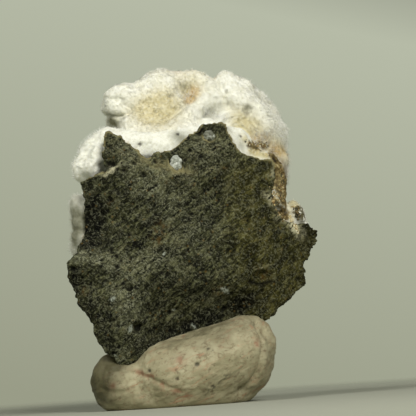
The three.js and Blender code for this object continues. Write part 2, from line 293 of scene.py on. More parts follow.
class Finish:
    """A node material in millimetres. Its colour is built up in coats, each laid on the last."""

    def __init__(self, name, roughness, specular=0.3):
        self.material = bpy.data.materials.new(name)
        self.material.use_nodes = True
        self.tree = self.material.node_tree
        self.shader = self.tree.nodes["Principled BSDF"]
        self.shader.inputs["Roughness"].default_value = roughness
        self.shader.inputs["Specular IOR Level"].default_value = specular
        coordinates = self.tree.nodes.new("ShaderNodeTexCoord")
        scale = self.tree.nodes.new("ShaderNodeVectorMath")
        scale.operation = "SCALE"
        scale.inputs["Scale"].default_value = 1 / MM
        self.link(coordinates.outputs["Object"], scale.inputs[0])
        self.place = scale.outputs["Vector"]
        self.colour = None

    def link(self, source, target):
        self.tree.links.new(source, target)

    def put(self, socket, value):
        """Gives a socket a number, a colour of 0 to 255 or a link from another socket."""
        if isinstance(value, tuple):
            socket.default_value = srgb(*value)
        elif isinstance(value, (int, float)):
            socket.default_value = value
        else:
            self.link(value, socket)

    def node(self, kind, **settings):
        made = self.tree.nodes.new(kind)
        for key, value in settings.items():
            setattr(made, key, value)
        return made

    def noise(self, wave, detail=3, roughness=0.6, distortion=0.0, stretch=None, seed=0.0):
        """Cloudy noise. Stretch is a turn in the face's plane and how long the pattern's axes are."""
        place = self.place
        if stretch or seed:
            mapping = self.node("ShaderNodeMapping", vector_type="TEXTURE")
            mapping.inputs["Location"].default_value = (seed, seed * 1.7, -seed)
            if stretch:
                mapping.inputs["Rotation"].default_value = (0, math.radians(-stretch[0]), 0)
                mapping.inputs["Scale"].default_value = stretch[1:]
            self.link(place, mapping.inputs["Vector"])
            place = mapping.outputs["Vector"]
        texture = self.node("ShaderNodeTexNoise")
        texture.inputs["Scale"].default_value = 1 / wave
        texture.inputs["Detail"].default_value = detail
        texture.inputs["Roughness"].default_value = roughness
        texture.inputs["Distortion"].default_value = distortion
        self.link(place, texture.inputs["Vector"])
        return texture.outputs["Fac"]

    def spots(self, wave, seed=0.0):
        """Distance to the nearest random spot and a random number for each spot's cell."""
        mapping = self.node("ShaderNodeMapping")
        mapping.inputs["Location"].default_value = (seed, -seed, seed * 2.3)
        self.link(self.place, mapping.inputs["Vector"])
        texture = self.node("ShaderNodeTexVoronoi")
        texture.inputs["Scale"].default_value = 1 / wave
        self.link(mapping.outputs["Vector"], texture.inputs["Vector"])
        split = self.node("ShaderNodeSeparateColor")
        self.link(texture.outputs["Color"], split.inputs["Color"])
        return texture.outputs["Distance"], split.outputs["Red"]

    def mask(self, name):
        attribute = self.node("ShaderNodeAttribute", attribute_name=name)
        return attribute.outputs["Fac"]

    def stretch(self, value, low, high, to_low=0.0, to_high=1.0):
        """Value from low..high to to_low..to_high, held at the ends."""
        node = self.node("ShaderNodeMapRange", interpolation_type="SMOOTHSTEP")
        for socket, number in zip(node.inputs[1:5], (low, high, to_low, to_high)):
            socket.default_value = number
        self.link(value, node.inputs["Value"])
        return node.outputs["Result"]

    def lines(self, value, width):
        """1 along the winding lines where a noise is 0.5, fading out over width to each side."""
        rising = self.stretch(value, 0.5 - width, 0.5)
        return self.times(rising, self.stretch(value, 0.5, 0.5 + width, 1, 0))

    def times(self, first, second, operation="MULTIPLY"):
        node = self.node("ShaderNodeMath", operation=operation)
        self.put(node.inputs[0], first)
        self.put(node.inputs[1], second)
        return node.outputs["Value"]

    def plus(self, first, second):
        return self.times(first, second, "ADD")

    def colours(self, value, *stops):
        """A colour for each value: stops are (value, colour) pairs."""
        node = self.node("ShaderNodeValToRGB")
        fill_ramp(node, stops)
        self.link(value, node.inputs["Fac"])
        return node.outputs["Color"]

    def mix(self, share, first, second, blend="MIX"):
        """First where share is 0 and second where it is 1. Each is a socket or a colour."""
        node = self.node("ShaderNodeMix", data_type="RGBA", blend_type=blend)
        for number, value in ((0, share), (6, first), (7, second)):
            self.put(node.inputs[number], value)
        return node.outputs[2]

    def lay(self, paint, *factors, blend="MIX"):
        """A coat of paint where factors are: names of masks, sockets or numbers, multiplied."""
        shares = [self.mask(factor) if isinstance(factor, str) else factor for factor in factors]
        self.colour = self.mix(functools.reduce(self.times, shares), self.colour, paint, blend)

    def tint(self, paint, *factors):
        """A coat that multiplies what is under it by the paint."""
        self.lay(paint, *factors, blend="MULTIPLY")

    def soften(self, weight, radius, depth):
        """Lets light scatter below the surface, as deep as depth times radius for each colour."""
        for name, value in (("Weight", weight), ("Radius", radius), ("Scale", depth * MM)):
            self.shader.inputs[f"Subsurface {name}"].default_value = value

    def bump(self, height, distance, strength=1.0, under=None):
        node = self.node("ShaderNodeBump")
        node.inputs["Distance"].default_value = distance * MM
        node.inputs["Strength"].default_value = strength
        self.link(height, node.inputs["Height"])
        if under:
            self.link(under, node.inputs["Normal"])
        return node.outputs["Normal"]

    def finish(self, normal=None):
        self.link(self.colour, self.shader.inputs["Base Color"])
        if normal:
            self.link(normal, self.shader.inputs["Normal"])
        return self.material


def basalt_finish():
    """Dark olive stone of fine felted grains, with pale wisps, ochre dots and broad patches of painted
    shade and painted light, partly darker and paler stone.
    """
    stone = Finish("basalt", roughness=0.95, specular=0.12)
    grain = stone.noise(0.5, detail=2)
    felt = stone.noise(1.1, detail=4, roughness=0.62, distortion=0.8, stretch=(36, 2.2, 1, 0.7), seed=3.1)
    patches = stone.noise(5, detail=4, roughness=0.65, seed=9.4)
    speck = stone.plus(stone.times(grain, 0.28), stone.times(felt, 0.72))
    lively = stone.colours(
        stone.stretch(speck, 0.35, 0.68),
        (0.0, (14, 15, 9)),
        (0.35, (42, 43, 29)),
        (0.65, (70, 71, 51)),
        (1.0, (116, 117, 91)),
    )
    even = stone.colours(
        stone.stretch(speck, 0.36, 0.66),
        (0.0, (38, 38, 21)),
        (0.5, (68, 67, 41)),
        (1.0, (96, 94, 62)),
    )
    stone.colour = stone.mix(stone.mask("brown"), lively, even)
    stone.tint(stone.colours(patches, (0.36, (182, 185, 168)), (0.6, (248, 247, 230))), 1)
    drift = stone.noise(2.6, distortion=0.6, stretch=(38, 2.2, 1, 0.7), seed=30.0)
    stone.tint((178, 180, 164), stone.stretch(drift, 0.52, 0.36))
    stone.lay((112, 110, 82), stone.stretch(drift, 0.54, 0.7, 0, 0.35))
    # Darker mottling that stands in for painted shade in tiny pits.
    pit_shade = stone.noise(1.4, detail=2, distortion=0.8, seed=21.0)
    stone.tint((96, 97, 82), stone.stretch(pit_shade, 0.3, 0.42, 1, 0), 0.35)
    stone.tint((248, 240, 196), "brown")
    # Painted shade on faces turned from the lamps, such as the scoop, the flanks and the undercut, partly
    # darker stone.
    stone.tint((86, 88, 74), "shade")
    # Painted light on faces turned to the lamps, such as the buttress, partly paler stone; pale wisps and
    # flecks show more there.
    stone.lay((108, 109, 86), "light", stone.stretch(felt, 0.36, 0.58), 0.5)
    stone.lay((134, 130, 98), "pale", stone.stretch(grain, 0.36, 0.56), 0.5)
    strands = stone.noise(1.7, distortion=1.0, stretch=(-40, 1.4, 1, 0.8), seed=14.0)
    shown = stone.plus(stone.times(stone.mask("light"), 0.5), 0.32)
    stone.lay((142, 143, 119), stone.lines(strands, 0.06), stone.stretch(grain, 0.42, 0.56), shown)
    flecks = stone.stretch(stone.noise(0.42, detail=1, roughness=0.5, seed=12.0), 0.6, 0.7)
    stone.lay((150, 152, 130), flecks, stone.plus(stone.mask("light"), 0.15), 0.55)
    stone.lay((184, 180, 150), "coat", stone.stretch(speck, 0.4, 0.54), 0.95)
    away, number = stone.spots(1.3, seed=4.0)
    dots = stone.stretch(away, 0.1, 0.34, 1, 0)
    stone.lay((118, 92, 40), dots, stone.stretch(number, 0.78, 0.84), 0.3)
    stone.lay((96, 72, 34), "rust", 0.5)
    stone.lay((158, 164, 152), "white", stone.stretch(grain, 0.36, 0.5), 0.85)
    stone.lay((168, 158, 112), "rim", 0.55)
    # Painted shade in the gas bubbles, the crack, the undercut's lip and the gaps between the flow
    # sheets.
    stone.lay((10, 10, 7), "pore", 0.9)
    return stone.finish(stone.bump(speck, 0.3))


def okenite_colour(stone, dull, bright):
    """White felt that yellows in its hollows, from the tints that the mesh carries."""
    mottle = stone.noise(1.8, roughness=0.55)
    cloud = stone.noise(6, detail=2, roughness=0.5, seed=2.2)
    stone.colour = stone.mix(stone.stretch(mottle, 0.3, 0.7), dull, bright)
    stone.lay((238, 235, 216), stone.stretch(cloud, 0.45, 0.7, 0, 0.3))
    uneven = stone.stretch(stone.noise(0.9, seed=6.0), 0.3, 0.6, 0.6, 1)
    stone.lay((218, 208, 168), "ochre", uneven)
    stone.lay((214, 180, 106), "orange", uneven)
    # Olive-grey stain, and painted shade under the ball's nose lobe, in its crease and hollows and on the
    # crust's shaded parts.
    stone.lay((124, 121, 82), "grey", uneven)
    stone.lay((118, 92, 42), "brown", uneven)
    stone.lay((58, 56, 42), "dark")
    return mottle


def okenite_finish():
    felt = Finish("okenite_felt", roughness=0.95, specular=0.15)
    # The felt is a little duller than the fibres over it: painted shade under the fibres.
    mottle = okenite_colour(felt, (236, 235, 222), (250, 250, 241))
    felt.soften(0.15, (1.0, 1.0, 0.9), 0.6)
    fine = felt.noise(0.35, roughness=0.7, distortion=1.0, seed=1.3)
    return felt.finish(felt.bump(fine, 0.08, 0.5, felt.bump(mottle, 0.15, 0.3)))


def fibre_finish():
    """Bright single fibres, some of them a little duller than the rest."""
    fibre = Finish("okenite_fibre", roughness=0.6, specular=0.35)
    okenite_colour(fibre, (253, 253, 245), (255, 255, 250))
    fibre.tint((244, 242, 226), "dull")
    fibre.soften(0.2, (1.0, 1.0, 0.9), 0.4)
    return fibre.finish()


def crust_finish():
    """Bright granular crust, with brown rubble, grey glassy spots, grey patches that are partly painted
    shade, and dark specks.
    """
    crust = Finish("crust", roughness=0.6, specular=0.35)
    grain = crust.noise(0.7, detail=4, roughness=0.7)
    cloud = crust.noise(3.2, seed=5.5)
    crust.colour = crust.mix(crust.stretch(grain, 0.3, 0.62), (226, 225, 208), (248, 248, 238))
    crust.lay((206, 206, 188), crust.stretch(cloud, 0.5, 0.72, 0, 0.35))
    bits = crust.spots(0.55, seed=2.0)[1]
    mottle = crust.noise(1.2, detail=5, roughness=0.75, seed=3.3)
    rubble = crust.colours(
        crust.plus(crust.times(bits, 0.35), crust.stretch(mottle, 0.32, 0.68, 0, 0.65)),
        (0.0, (34, 28, 14)),
        (0.3, (84, 69, 36)),
        (0.55, (112, 96, 55)),
        (0.75, (146, 131, 86)),
        (1.0, (204, 194, 152)),
    )
    crust.lay((192, 180, 130), "straw", 0.9)
    crust.lay(rubble, "rubble")
    # Grey crust and painted shade: the lower left lobe behind the stone's edge, the strip under the ball
    # and the ledge's underside.
    crust.lay((116, 116, 94), "grey", 0.9)
    crust.lay((196, 180, 128), "rim", 0.7)
    glass = crust.colours(
        crust.spots(0.5, seed=9.0)[1],
        (0.0, (34, 34, 26)),
        (0.4, (92, 92, 76)),
        (0.6, (160, 160, 142)),
        (1.0, (226, 226, 214)),
    )
    crust.lay(glass, "glass")
    crust.lay((80, 74, 44), "green")
    crust.lay((38, 30, 16), "dark")
    crust.soften(0.2, (1.0, 0.95, 0.8), 0.6)
    fine = crust.noise(0.3, roughness=0.7, seed=8.8)
    return crust.finish(crust.bump(fine, 0.08, 0.7, crust.bump(grain, 0.25, 0.8)))


def crystal_finish():
    """Cloudy grey-white crystal, each grain with a tone of its own."""
    crystal = Finish("crystal", roughness=0.35, specular=0.45)
    cloud = crystal.stretch(crystal.noise(0.7), 0.35, 0.7, -0.15, 0.15)
    crystal.colour = crystal.colours(
        crystal.plus(crystal.mask("tone"), cloud),
        (0.0, (56, 56, 44)),
        (0.35, (112, 114, 98)),
        (0.7, (170, 174, 164)),
        (1.0, (214, 217, 208)),
    )
    crystal.soften(0.3, (1.0, 1.0, 1.0), 0.5)
    return crystal.finish()


def putty_finish():
    """Kneaded beige putty with pinkish veins, picked-up grains, fine wrinkles, thin cracks and patches of
    painted shade.
    """
    putty = Finish("putty", roughness=0.6, specular=0.35)
    cloud = putty.noise(6, detail=4)
    mottle = putty.noise(1.3, detail=4, roughness=0.75, seed=8.0)
    putty.colour = putty.mix(putty.stretch(cloud, 0.35, 0.65), (159, 152, 121), (180, 173, 142))
    putty.lay((146, 130, 100), putty.stretch(mottle, 0.46, 0.7, 0, 0.6))
    veins = putty.noise(3.0, detail=5, roughness=0.7, distortion=0.8, stretch=(24, 2, 1, 0.5))
    pink = putty.stretch(veins, 0.54, 0.66)
    putty.lay((172, 136, 106), pink, putty.stretch(cloud, 0.4, 0.62, 0.3, 0.9))
    creased = putty.noise(3.0, detail=4, distortion=0.8, stretch=(30, 1.8, 1, 0.7), seed=5.0)
    cracks = putty.times(putty.lines(creased, 0.022), putty.stretch(mottle, 0.44, 0.58))
    putty.lay((118, 92, 66), cracks, 0.45)
    putty.lay((150, 102, 78), "stain", 0.7)
    away, number = putty.spots(1.7, seed=1.0)
    grains = putty.stretch(away, 0.06, 0.13, 1, 0)
    putty.lay((70, 62, 42), grains, putty.stretch(number, 0.8, 0.86), 0.75)
    putty.lay((58, 56, 42), "dirt", 0.85)
    # Painted shade where the stone overhangs and shadows the putty, along its top and near the floor.
    putty.tint((138, 138, 122), "grime")
    wrinkles = putty.noise(1.1, detail=4, roughness=0.65, stretch=(26, 2.4, 1, 0.6), seed=4.4)
    fine = putty.noise(0.4, roughness=0.7, seed=2.0)
    folds = putty.plus(wrinkles, putty.times(cracks, -0.6))
    return putty.finish(putty.bump(fine, 0.1, 0.6, putty.bump(folds, 0.35, 0.6)))


# ---- Basalt ----

# Patches of the broken face where the stone flowed: x, z, half sizes and the flow's turn.
FLOW_PATCHES = [
    (-9, 63.5, 6, 3.5, -42),
    (-1.5, 59, 8, 3.2, -28),
    (8, 57, 8, 4, -6),
    (11, 64, 6, 3, -8),
    (-16, 36.5, 8, 2.2, -12),
]
# Gas bubbles too small for the solid: x, z, radius and depth.
PORES = [
    (-23.5, 35.1, 0.9, 0.8),
    (-13.5, 51.8, 0.8, 0.7),
    (6.5, 47.3, 0.7, 0.8),
    (-0.5, 23.0, 0.6, 0.6),
    (-12.5, 35.0, 0.9, 0.6),
    (-9.6, 58.9, 0.6, 0.6),
    (-12.0, 60.6, 0.6, 0.6),
    (-1.0, 16.8, 1.0, 0.8),
    (10.0, 61.8, 0.8, 0.7),
    (10.0, 68.4, 1.5, 0.9),
    (-12.9, 60.9, 1.5, 1.1),
    (-8.2, 19.8, 1.2, 1.2),
    (-9.7, 29.5, 0.9, 1.3),
    (-14.2, 22.0, 0.6, 0.6),
    (-13.2, 20.4, 0.7, 0.8),
    (-2.6, 20.3, 0.6, 0.7),
    (-0.4, 18.7, 0.9, 0.8),
    (16.5, 37.5, 0.5, 0.5),
]
# Rusty spots: x, z and size.
RUST_SPOTS = [
    (-13.5, 51.6, 0.8),
    (-21.0, 29.5, 0.9),
    (-16.0, 27.0, 0.7),
    (15.5, 58.6, 0.6),
    (-1.5, 44.0, 1.6),
    (-2.5, 41.0, 1.4),
    (19.3, 45.0, 0.6),
    (12.0, 28.0, 1.5),
    (22.9, 31.6, 1.6),
    (0.5, 55.2, 0.6),
]
# Broad patches of painted shade (partly darker stone) and of painted light (partly paler stone): x, z,
# half sizes, turn and strength.
SHADE_AND_DARK_STONE_PATCHES = [
    (-18.6, 47.0, 3.8, 8.0, 0, 1.3),
    (-18.6, 23.5, 10.0, 2.2, -60, 0.65),
    (4.0, 19.8, 13.0, 2.0, 20, 1.0),
    (18.5, 24.6, 4.5, 3.0, 24, 0.9),
    (-21.3, 39.8, 2.6, 0.9, 12, 0.9),
    (2.0, 32.0, 7.0, 4.0, 10, 0.3),
    (13.5, 53.0, 3.0, 3.0, 0, 0.4),
    (8.5, 61.5, 2.6, 1.6, -20, 0.45),
    (25.0, 44.0, 4.5, 3.5, 30, 0.3),
    (31.0, 34.0, 3.0, 5.0, 0, 0.2),
    (36.0, 41.0, 2.6, 3.4, 0, 0.6),
    (12.5, 69.0, 2.2, 1.6, 0, 0.4),
    (-10.8, 63.6, 3.6, 2.4, -30, 0.4),
    (6.5, 46.8, 4.0, 1.0, 30, 0.4),
]
LIGHT_AND_PALE_STONE_PATCHES = [
    (-3.5, 55.5, 5.5, 3.5, -25, 0.9),
    (1.5, 49.5, 4.0, 3.0, 0, 0.6),
    (-10.5, 25.5, 3.6, 7.5, 8, 0.7),
    (-22.2, 38.0, 2.2, 1.6, 0, 0.8),
    (-4.0, 36.5, 5.0, 3.0, 20, 0.6),
    (6.5, 42.0, 5.0, 4.0, 0, 0.4),
    (3.0, 57.5, 4.0, 1.6, -15, 0.7),
    (-12.0, 13.5, 3.0, 2.0, 30, 0.6),
    (-17.0, 36.8, 7.0, 2.0, -12, 0.9),
    (-9.0, 64.0, 5.0, 2.6, -42, 0.5),
    (11.0, 64.0, 6.0, 4.0, 0, 0.5),
]
# Small white grains: x, z, half sizes and turn.
WHITE_SPOTS = [
    (-14.0, 27.2, 0.8, 0.6, 20),
    (0.4, 23.8, 0.5, 0.3, 0),
    (-1.0, 37.5, 0.6, 0.35, 40),
    (5.0, 19.6, 1.1, 0.25, -50),
    (-10.2, 19.6, 0.5, 1.2, -20),
    (-14.3, 13.4, 0.7, 0.2, -60),
    (13.4, 27.8, 1.4, 0.7, -30),
]
# Thin whitish coats: x, z, half sizes, turn and strength.
COATS = [
    (32.2, 43.2, 2.4, 0.8, -62, 1.3),
    (29.6, 45.0, 2.4, 1.4, -52, 0.45),
    (26.8, 50.0, 1.6, 1.0, -60, 0.8),
    (27.8, 57.4, 2.0, 0.4, 90, 0.5),
    (-13.4, 59.5, 2.0, 0.4, 24, 1.3),
    (22.8, 33.0, 2.0, 0.3, 5, 0.5),
]
# Swellings of the stone's edge: x, z, reach and how far out.
STONE_BULGES = [
    (-21.0, 26.5, 3.0, 1.2),
    (-13.3, 69.2, 1.4, 1.3),
]
# A crack and the lip of the undercut, as x and z.
CRACK = [(25.4, 58.6), (23.6, 57.0), (21.6, 54.8), (19.4, 52.4)]
LOW_LIP = [(19.8, 29.4), (22.0, 28.8), (25.2, 29.3)]


def face_patches(points, patches):
    """Face blobs added up, with ragged edges."""
    right = rough_noise(points, 3.0, 3, seed=90)
    up = rough_noise(points, 3.0, 3, seed=94)
    return face_blobs(points + 1.2 * np.stack([right, np.zeros(len(points)), up], axis=1), patches)


def flow_sheets(points, facing):
    """The relief, pale crests and painted shade in the gaps of the thin sheets in which the stone flowed.
    """
    height, pale, gap_shade = np.zeros((3, len(points)))
    wander = 0.9 * rough_noise(points, 4, 2, seed=26)
    for number, (x, z, *size, turn) in enumerate(FLOW_PATCHES):
        along, across = turned(points[:, 0], points[:, 2], turn)
        sheet = np.stack([along / 3.2, (across + wander) / 0.6, points[:, 1] / 3], axis=1)
        streak = rough_noise(sheet, 1, 3, seed=10 + number)
        inside = ramp(face_blob(points, (x, z), size, turn), 0.12, 0.6) * facing
        height += 0.17 * inside * streak
        pale = np.maximum(pale, inside * ramp(streak, 0.15, 0.7))
        gap_shade = np.maximum(gap_shade, inside * ramp(streak, -0.15, -0.6))
    return height, pale, gap_shade


def bubbles(points, facing, calm):
    """How deep the gas bubbles, the crack and the undercut's lip are, and how dark they are painted as
    shade.
    """
    away, number, _ = nearest_spot(points, 2.1, seed=2)
    radius = 0.28 + 0.42 * ramp(number, 0.55, 1)
    small = ramp(number, 0.5, 0.6) * (1 - ramp(away, 0.55 * radius, radius))
    depth = 0.45 * small
    dark = small * (1 - 0.4 * calm)
    for x, z, size, deepest in PORES:
        inside = face_blob(points, (x, z), (size, 0.8 * size)) * facing
        depth += deepest * inside
        dark = np.maximum(dark, ramp(inside, 0.25, 0.8))
    crack = line_mark(points, CRACK, 0.6) * facing
    lip = line_mark(points, LOW_LIP, 0.5) * facing
    depth += 0.45 * crack + 0.6 * lip
    return depth, np.maximum(dark, np.maximum(0.45 * crack * ramp(points[:, 2], 53, 57), lip))


def basalt():
    mesh = even_skin("basalt_matrix", voxel=0.345, smoothing=4)
    points = read_points(mesh)
    normals = read_normals(mesh)
    toward = -normals[:, 1]
    facing = ramp(toward, 0.2, 0.7)
    edge = 1 - ramp(np.abs(toward), 0.5, 0.95)
    calm = ramp(points[:, 0], 10, 22) * ramp(points[:, 2], 64, 56)
    spur = ramp(points[:, 0], 31.5, 34.5)
    height = 0.4 * rough_noise(points, 4.2, 2, seed=1)
    height += (0.35 * edge + 0.45 * spur) * rough_noise(points, 2.2, 3, seed=17, keep=0.7)
    height += (0.2 - 0.08 * calm) * rough_noise(points, 1.3, 3, seed=4, keep=0.7)
    for x, z, reach, out in STONE_BULGES:
        height += out * face_blob(points, (x, z), (reach, reach))
    sheets, pale, gap_shade = flow_sheets(points, facing)
    depth, pore = bubbles(points, facing, calm)

    points = push_out(mesh, height + sheets - depth)
    rust = sum(face_blob(points, (x, z), (size, size)) for x, z, size in RUST_SPOTS) * facing
    rim = ramp(toward, 0.1, 0.35) * ramp(toward, 0.92, 0.75)
    rim *= ramp(normals[:, 2], 0.05, 0.3) * ramp(points[:, 2], 56, 58)
    write_masks(
        mesh,
        pale=pale,
        pore=np.maximum(pore, 0.3 * gap_shade),
        rust=rust * ramp(rough_noise(points, 1.0, 3, seed=21), -0.2, 0.5),
        rim=rim * ramp(rough_noise(points, 1.5, 2, seed=22), -1.0, -0.3),
        white=ramp(face_blobs(points, WHITE_SPOTS), 0.3, 0.7) * facing,
        brown=0.75 * calm,
        shade=face_patches(points, SHADE_AND_DARK_STONE_PATCHES) * facing,
        light=face_patches(points, LIGHT_AND_PALE_STONE_PATCHES) * facing,
        coat=face_patches(points, COATS) * facing,
    )
    shade_smooth(mesh)
    piece = new_piece("basalt", mesh, "basalt_matrix")
    mesh.materials.append(basalt_finish())


# ---- Okenite ball ----

# Ridges (out above 0) and creases (below 0) on the ball's near side: path as x and z, width, out.
FOLDS = [
    ([(-14.6, 75.9), (-12.6, 75.0), (-10.4, 74.7), (-8.4, 75.0), (-7.4, 75.6)], 0.5, -1.0),
    ([(-13.9, 80.0), (-12.1, 79.1), (-10.2, 79.0)], 0.45, -0.5),
    ([(-4.5, 77.4), (-2.5, 77.1), (0.5, 77.6), (4.0, 79.4)], 0.9, -0.5),
    ([(6.6, 83.2), (7.4, 80.6), (7.4, 78.6)], 1.1, -0.5),
    ([(3.0, 69.5), (6.3, 73.0), (10.3, 76.0), (13.6, 78.8), (13.9, 82.0)], 1.9, 1.2),
    ([(2.6, 73.2), (5.6, 76.0), (8.4, 77.8)], 0.9, -0.6),
    ([(13.6, 85.2), (15.2, 82.0), (16.5, 79.4), (17.6, 76.0)], 1.0, -0.9),
    ([(17.9, 76.5), (18.9, 73.8), (19.3, 71.0)], 1.2, -0.5),
    ([(20.0, 78.0), (24.5, 75.5), (27.5, 71.0), (29.0, 66.5)], 1.8, 0.7),
    ([(23.6, 71.5), (25.0, 68.5), (26.0, 66.5)], 0.9, -0.6),
    ([(12.0, 73.0), (14.2, 74.6), (16.4, 75.2)], 1.3, -1.0),
]
# Swellings of the ball: x, y, z, reach and how far out.
BULGES = [
    (-13.6, 14.0, 73.8, 2.2, 0.8),
    (-11.6, 9.0, 76.6, 1.7, 1.0),
    (-9.4, 8.0, 76.4, 1.4, 0.6),
    (-14.6, 13.2, 77.6, 1.5, 1.0),
    (-8.8, 12.0, 83.0, 2.2, 0.6),
    (6.2, 16.0, 86.6, 1.8, 0.8),
    (1.0, 15.0, 87.0, 3.0, 0.6),
    (9.3, 16.0, 85.6, 3.2, 1.7),
    (17.2, 16.0, 84.6, 2.2, 2.0),
    (20.5, 16.0, 83.0, 2.0, 0.8),
    (23.0, 16.5, 81.6, 1.8, 0.9),
    (28.0, 17.5, 77.0, 3.0, -1.5),
    (32.0, 20.5, 70.0, 2.2, 1.3),
    (31.2, 16.0, 61.4, 2.2, 1.8),
    (21.5, 8.5, 70.5, 3.0, 0.8),
]
# Parts of the ball that stand nearer: x, y, z, reach and how much nearer.
NEARER = [
    (-12.5, 12.0, 78.5, 3.4, 2.2),
    (-12.0, 12.0, 74.0, 3.4, 2.4),
]
# Tints of the ball: x, y, z, reach and strength.
OCHRE = [
    (1.5, 7, 77.4, 4.8, 1.0),
    (-3.5, 6, 75.2, 4.0, 0.75),
    (-1.0, 6, 71.5, 6.0, 0.65),
    (-8, 9, 72.5, 3.0, 0.35),
    (21.2, 10, 69.6, 3.4, 0.95),
    (20.4, 10, 73.0, 3.0, 0.5),
    (24.6, 12, 69.2, 3.0, 0.5),
    (27.0, 13, 66.0, 2.4, 0.8),
    (30.0, 15.5, 63.4, 2.4, 1.0),
    (8.0, 12, 81.0, 3.0, 0.9),
    (0.5, 14, 86.0, 4.0, 0.2),
    (9.5, 15, 86.0, 4.0, 0.35),
]
ORANGE = [
    (8.7, 11.7, 79.9, 1.8, 1.0),
    (7.6, 11, 78.0, 1.4, 0.8),
    (23.6, 10.8, 66.2, 1.7, 0.6),
    (26.4, 12.2, 66.0, 1.8, 0.8),
    (27.6, 13.4, 69.0, 0.9, 0.4),
    (29.2, 14.2, 63.8, 1.7, 0.9),
    (31.0, 16.5, 63.3, 1.8, 0.6),
    (14.0, 16, 83.6, 1.2, 0.4),
    (5.0, 16, 86.0, 2.5, 0.25),
]
BROWN = [
    (23.6, 10.6, 64.8, 1.0, 0.8),
    (26.0, 12, 64.6, 0.9, 0.9),
    (24.8, 11.2, 66.5, 0.45, 0.8),
    (27.3, 12.9, 65.8, 0.45, 0.8),
    (22.5, 10.2, 66.3, 0.5, 0.6),
    (28.7, 13.9, 66.8, 0.4, 0.4),
    (29.9, 14.8, 65.2, 0.5, 0.3),
    (28.0, 13.2, 63.2, 0.9, 0.8),
    (29.4, 14.6, 60.6, 1.6, 1.0),
    (30.4, 15.5, 57.0, 2.8, 1.0),
    (30.0, 14, 52.5, 3.6, 1.0),
    (30.0, 13, 48.0, 3.2, 1.0),
]
# The grey is olive-grey stain in places and painted shade under the nose lobe, along its crease and in
# the hollows.
GREY_STAIN_AND_SHADE = [
    (-13.4, 11.0, 73.8, 2.0, 1.0),
    (-11.6, 9.8, 73.0, 1.6, 0.6),
    (-11.8, 11.4, 74.8, 0.6, 0.5),
    (-9.6, 9.0, 74.7, 0.6, 0.5),
    (-7.8, 7.6, 75.3, 0.6, 0.5),
    (6.6, 12.7, 82.0, 1.4, 0.65),
    (6.4, 12.2, 80.2, 1.2, 0.25),
    (22.6, 10.6, 74.3, 1.1, 0.8),
    (13.6, 9.8, 74.3, 1.2, 0.4),
    (10.8, 9.4, 72.4, 0.9, 0.4),
    (15.8, 9.6, 75.4, 0.8, 0.3),
    (26.5, 13.0, 71.5, 0.5, 0.5),
    (27.6, 14.0, 70.0, 0.5, 0.5),
    (28.4, 14.0, 67.7, 0.6, 0.6),
]
DARK = [
    (9.8, 9.0, 72.8, 0.55, 1.0),
    (11.4, 9.7, 73.8, 0.5, 1.0),
    (12.8, 9.8, 74.8, 0.45, 0.9),
    (13.9, 9.8, 74.2, 0.5, 0.8),
    (12.2, 9.8, 73.2, 0.35, 0.8),
    (14.9, 9.7, 75.0, 0.35, 0.7),
    (20.3, 8.5, 67.6, 0.5, 0.8),
    (25.9, 11.9, 64.9, 0.6, 0.9),
    (24.4, 11.0, 65.2, 0.45, 0.8),
    (25.3, 11.5, 66.0, 0.35, 0.8),
    (27.1, 12.6, 64.7, 0.4, 0.9),
    (23.1, 10.4, 64.6, 0.4, 0.8),
    (28.3, 13.6, 65.8, 0.3, 0.7),
    (28.9, 13.0, 60.9, 0.9, 1.0),
]


OKENITE_TINTS = {"ochre": OCHRE, "orange": ORANGE, "grey": GREY_STAIN_AND_SHADE, "brown": BROWN, "dark": DARK}


def tint(points, spots):
    return sum(strength * blob(points, (x, y, z), reach) for x, y, z, reach, strength in spots)


def write_tints(mesh, points, share=1, **tables):
    """A mask for each table of spots. Points are the mesh's own or the roots of its fibres."""
    write_masks(mesh, **{name: share * tint(points, spots) for name, spots in tables.items()})


def far_side(points):
    """0 on the matted near side of the ball and 1 on its open far side."""
    return ramp(points[:, 1], 14, 26)


def meet_crust(mesh):
    """Brings the foot of the ball's near side forward, so that it runs into the crust's rim."""
    points = read_points(mesh)
    x, y, z = points.T
    rim_front = np.maximum(1.0 + 0.26 * x, -0.6)
    rim_top = 68.4 + 1.6 * ramp(x, 2, 9)
    slope = rim_front + 0.4 + 0.95 * (z - rim_top)
    target = np.where(z > rim_top, slope, rim_front + 1.2)
    share = ramp(x, -12.5, -8.5) * ramp(x, 13, 9.5) * ramp(z, 63, 65) * ramp(y, 16, 12)
    points[:, 1] = y - share * np.maximum(y - target, 0)
    for *at, reach, nearer in NEARER:
        points[:, 1] -= nearer * blob(points, at, reach)
    write_points(mesh, points)


def ball_core():
    """The felt under the fibres, drawn in so that the fibres end where the solid does."""
    mesh = even_skin("okenite_puffball", voxel=0.44, smoothing=8)
    meet_crust(mesh)
    points = read_points(mesh)
    near = ramp(-read_normals(mesh)[:, 1], -0.5, 0.3)
    height = -(0.12 + 0.4 * far_side(points))
    for path, width, out in FOLDS:
        height += out * near * line_mark(points, path, width)
    for x, y, z, reach, out in BULGES:
        height += out * blob(points, (x, y, z), reach)
    hole = face_blob(points, (22.6, 74.4), (0.95, 0.8)) * near
    height -= 1.2 * hole
    height += 0.14 * rough_noise(points, 4.5, 3, seed=31)
    creased = np.abs(smooth_noise(points, 2.6, seed=35))
    height -= 0.05 * (1 - ramp(creased, 0, 0.3))
    height += 0.05 * rough_noise(points, 0.9, 2, seed=36)
    points = push_out(mesh, height)
    write_tints(mesh, points, **OKENITE_TINTS)
    shade_smooth(mesh)
    return mesh


# ---- Fibres ----

BALL_FIBRES = 122000
CRUST_FIBRES = 34000
FIBRE_RADIUS = (0.035, 0.06)
SPIKE_POINTS = 4

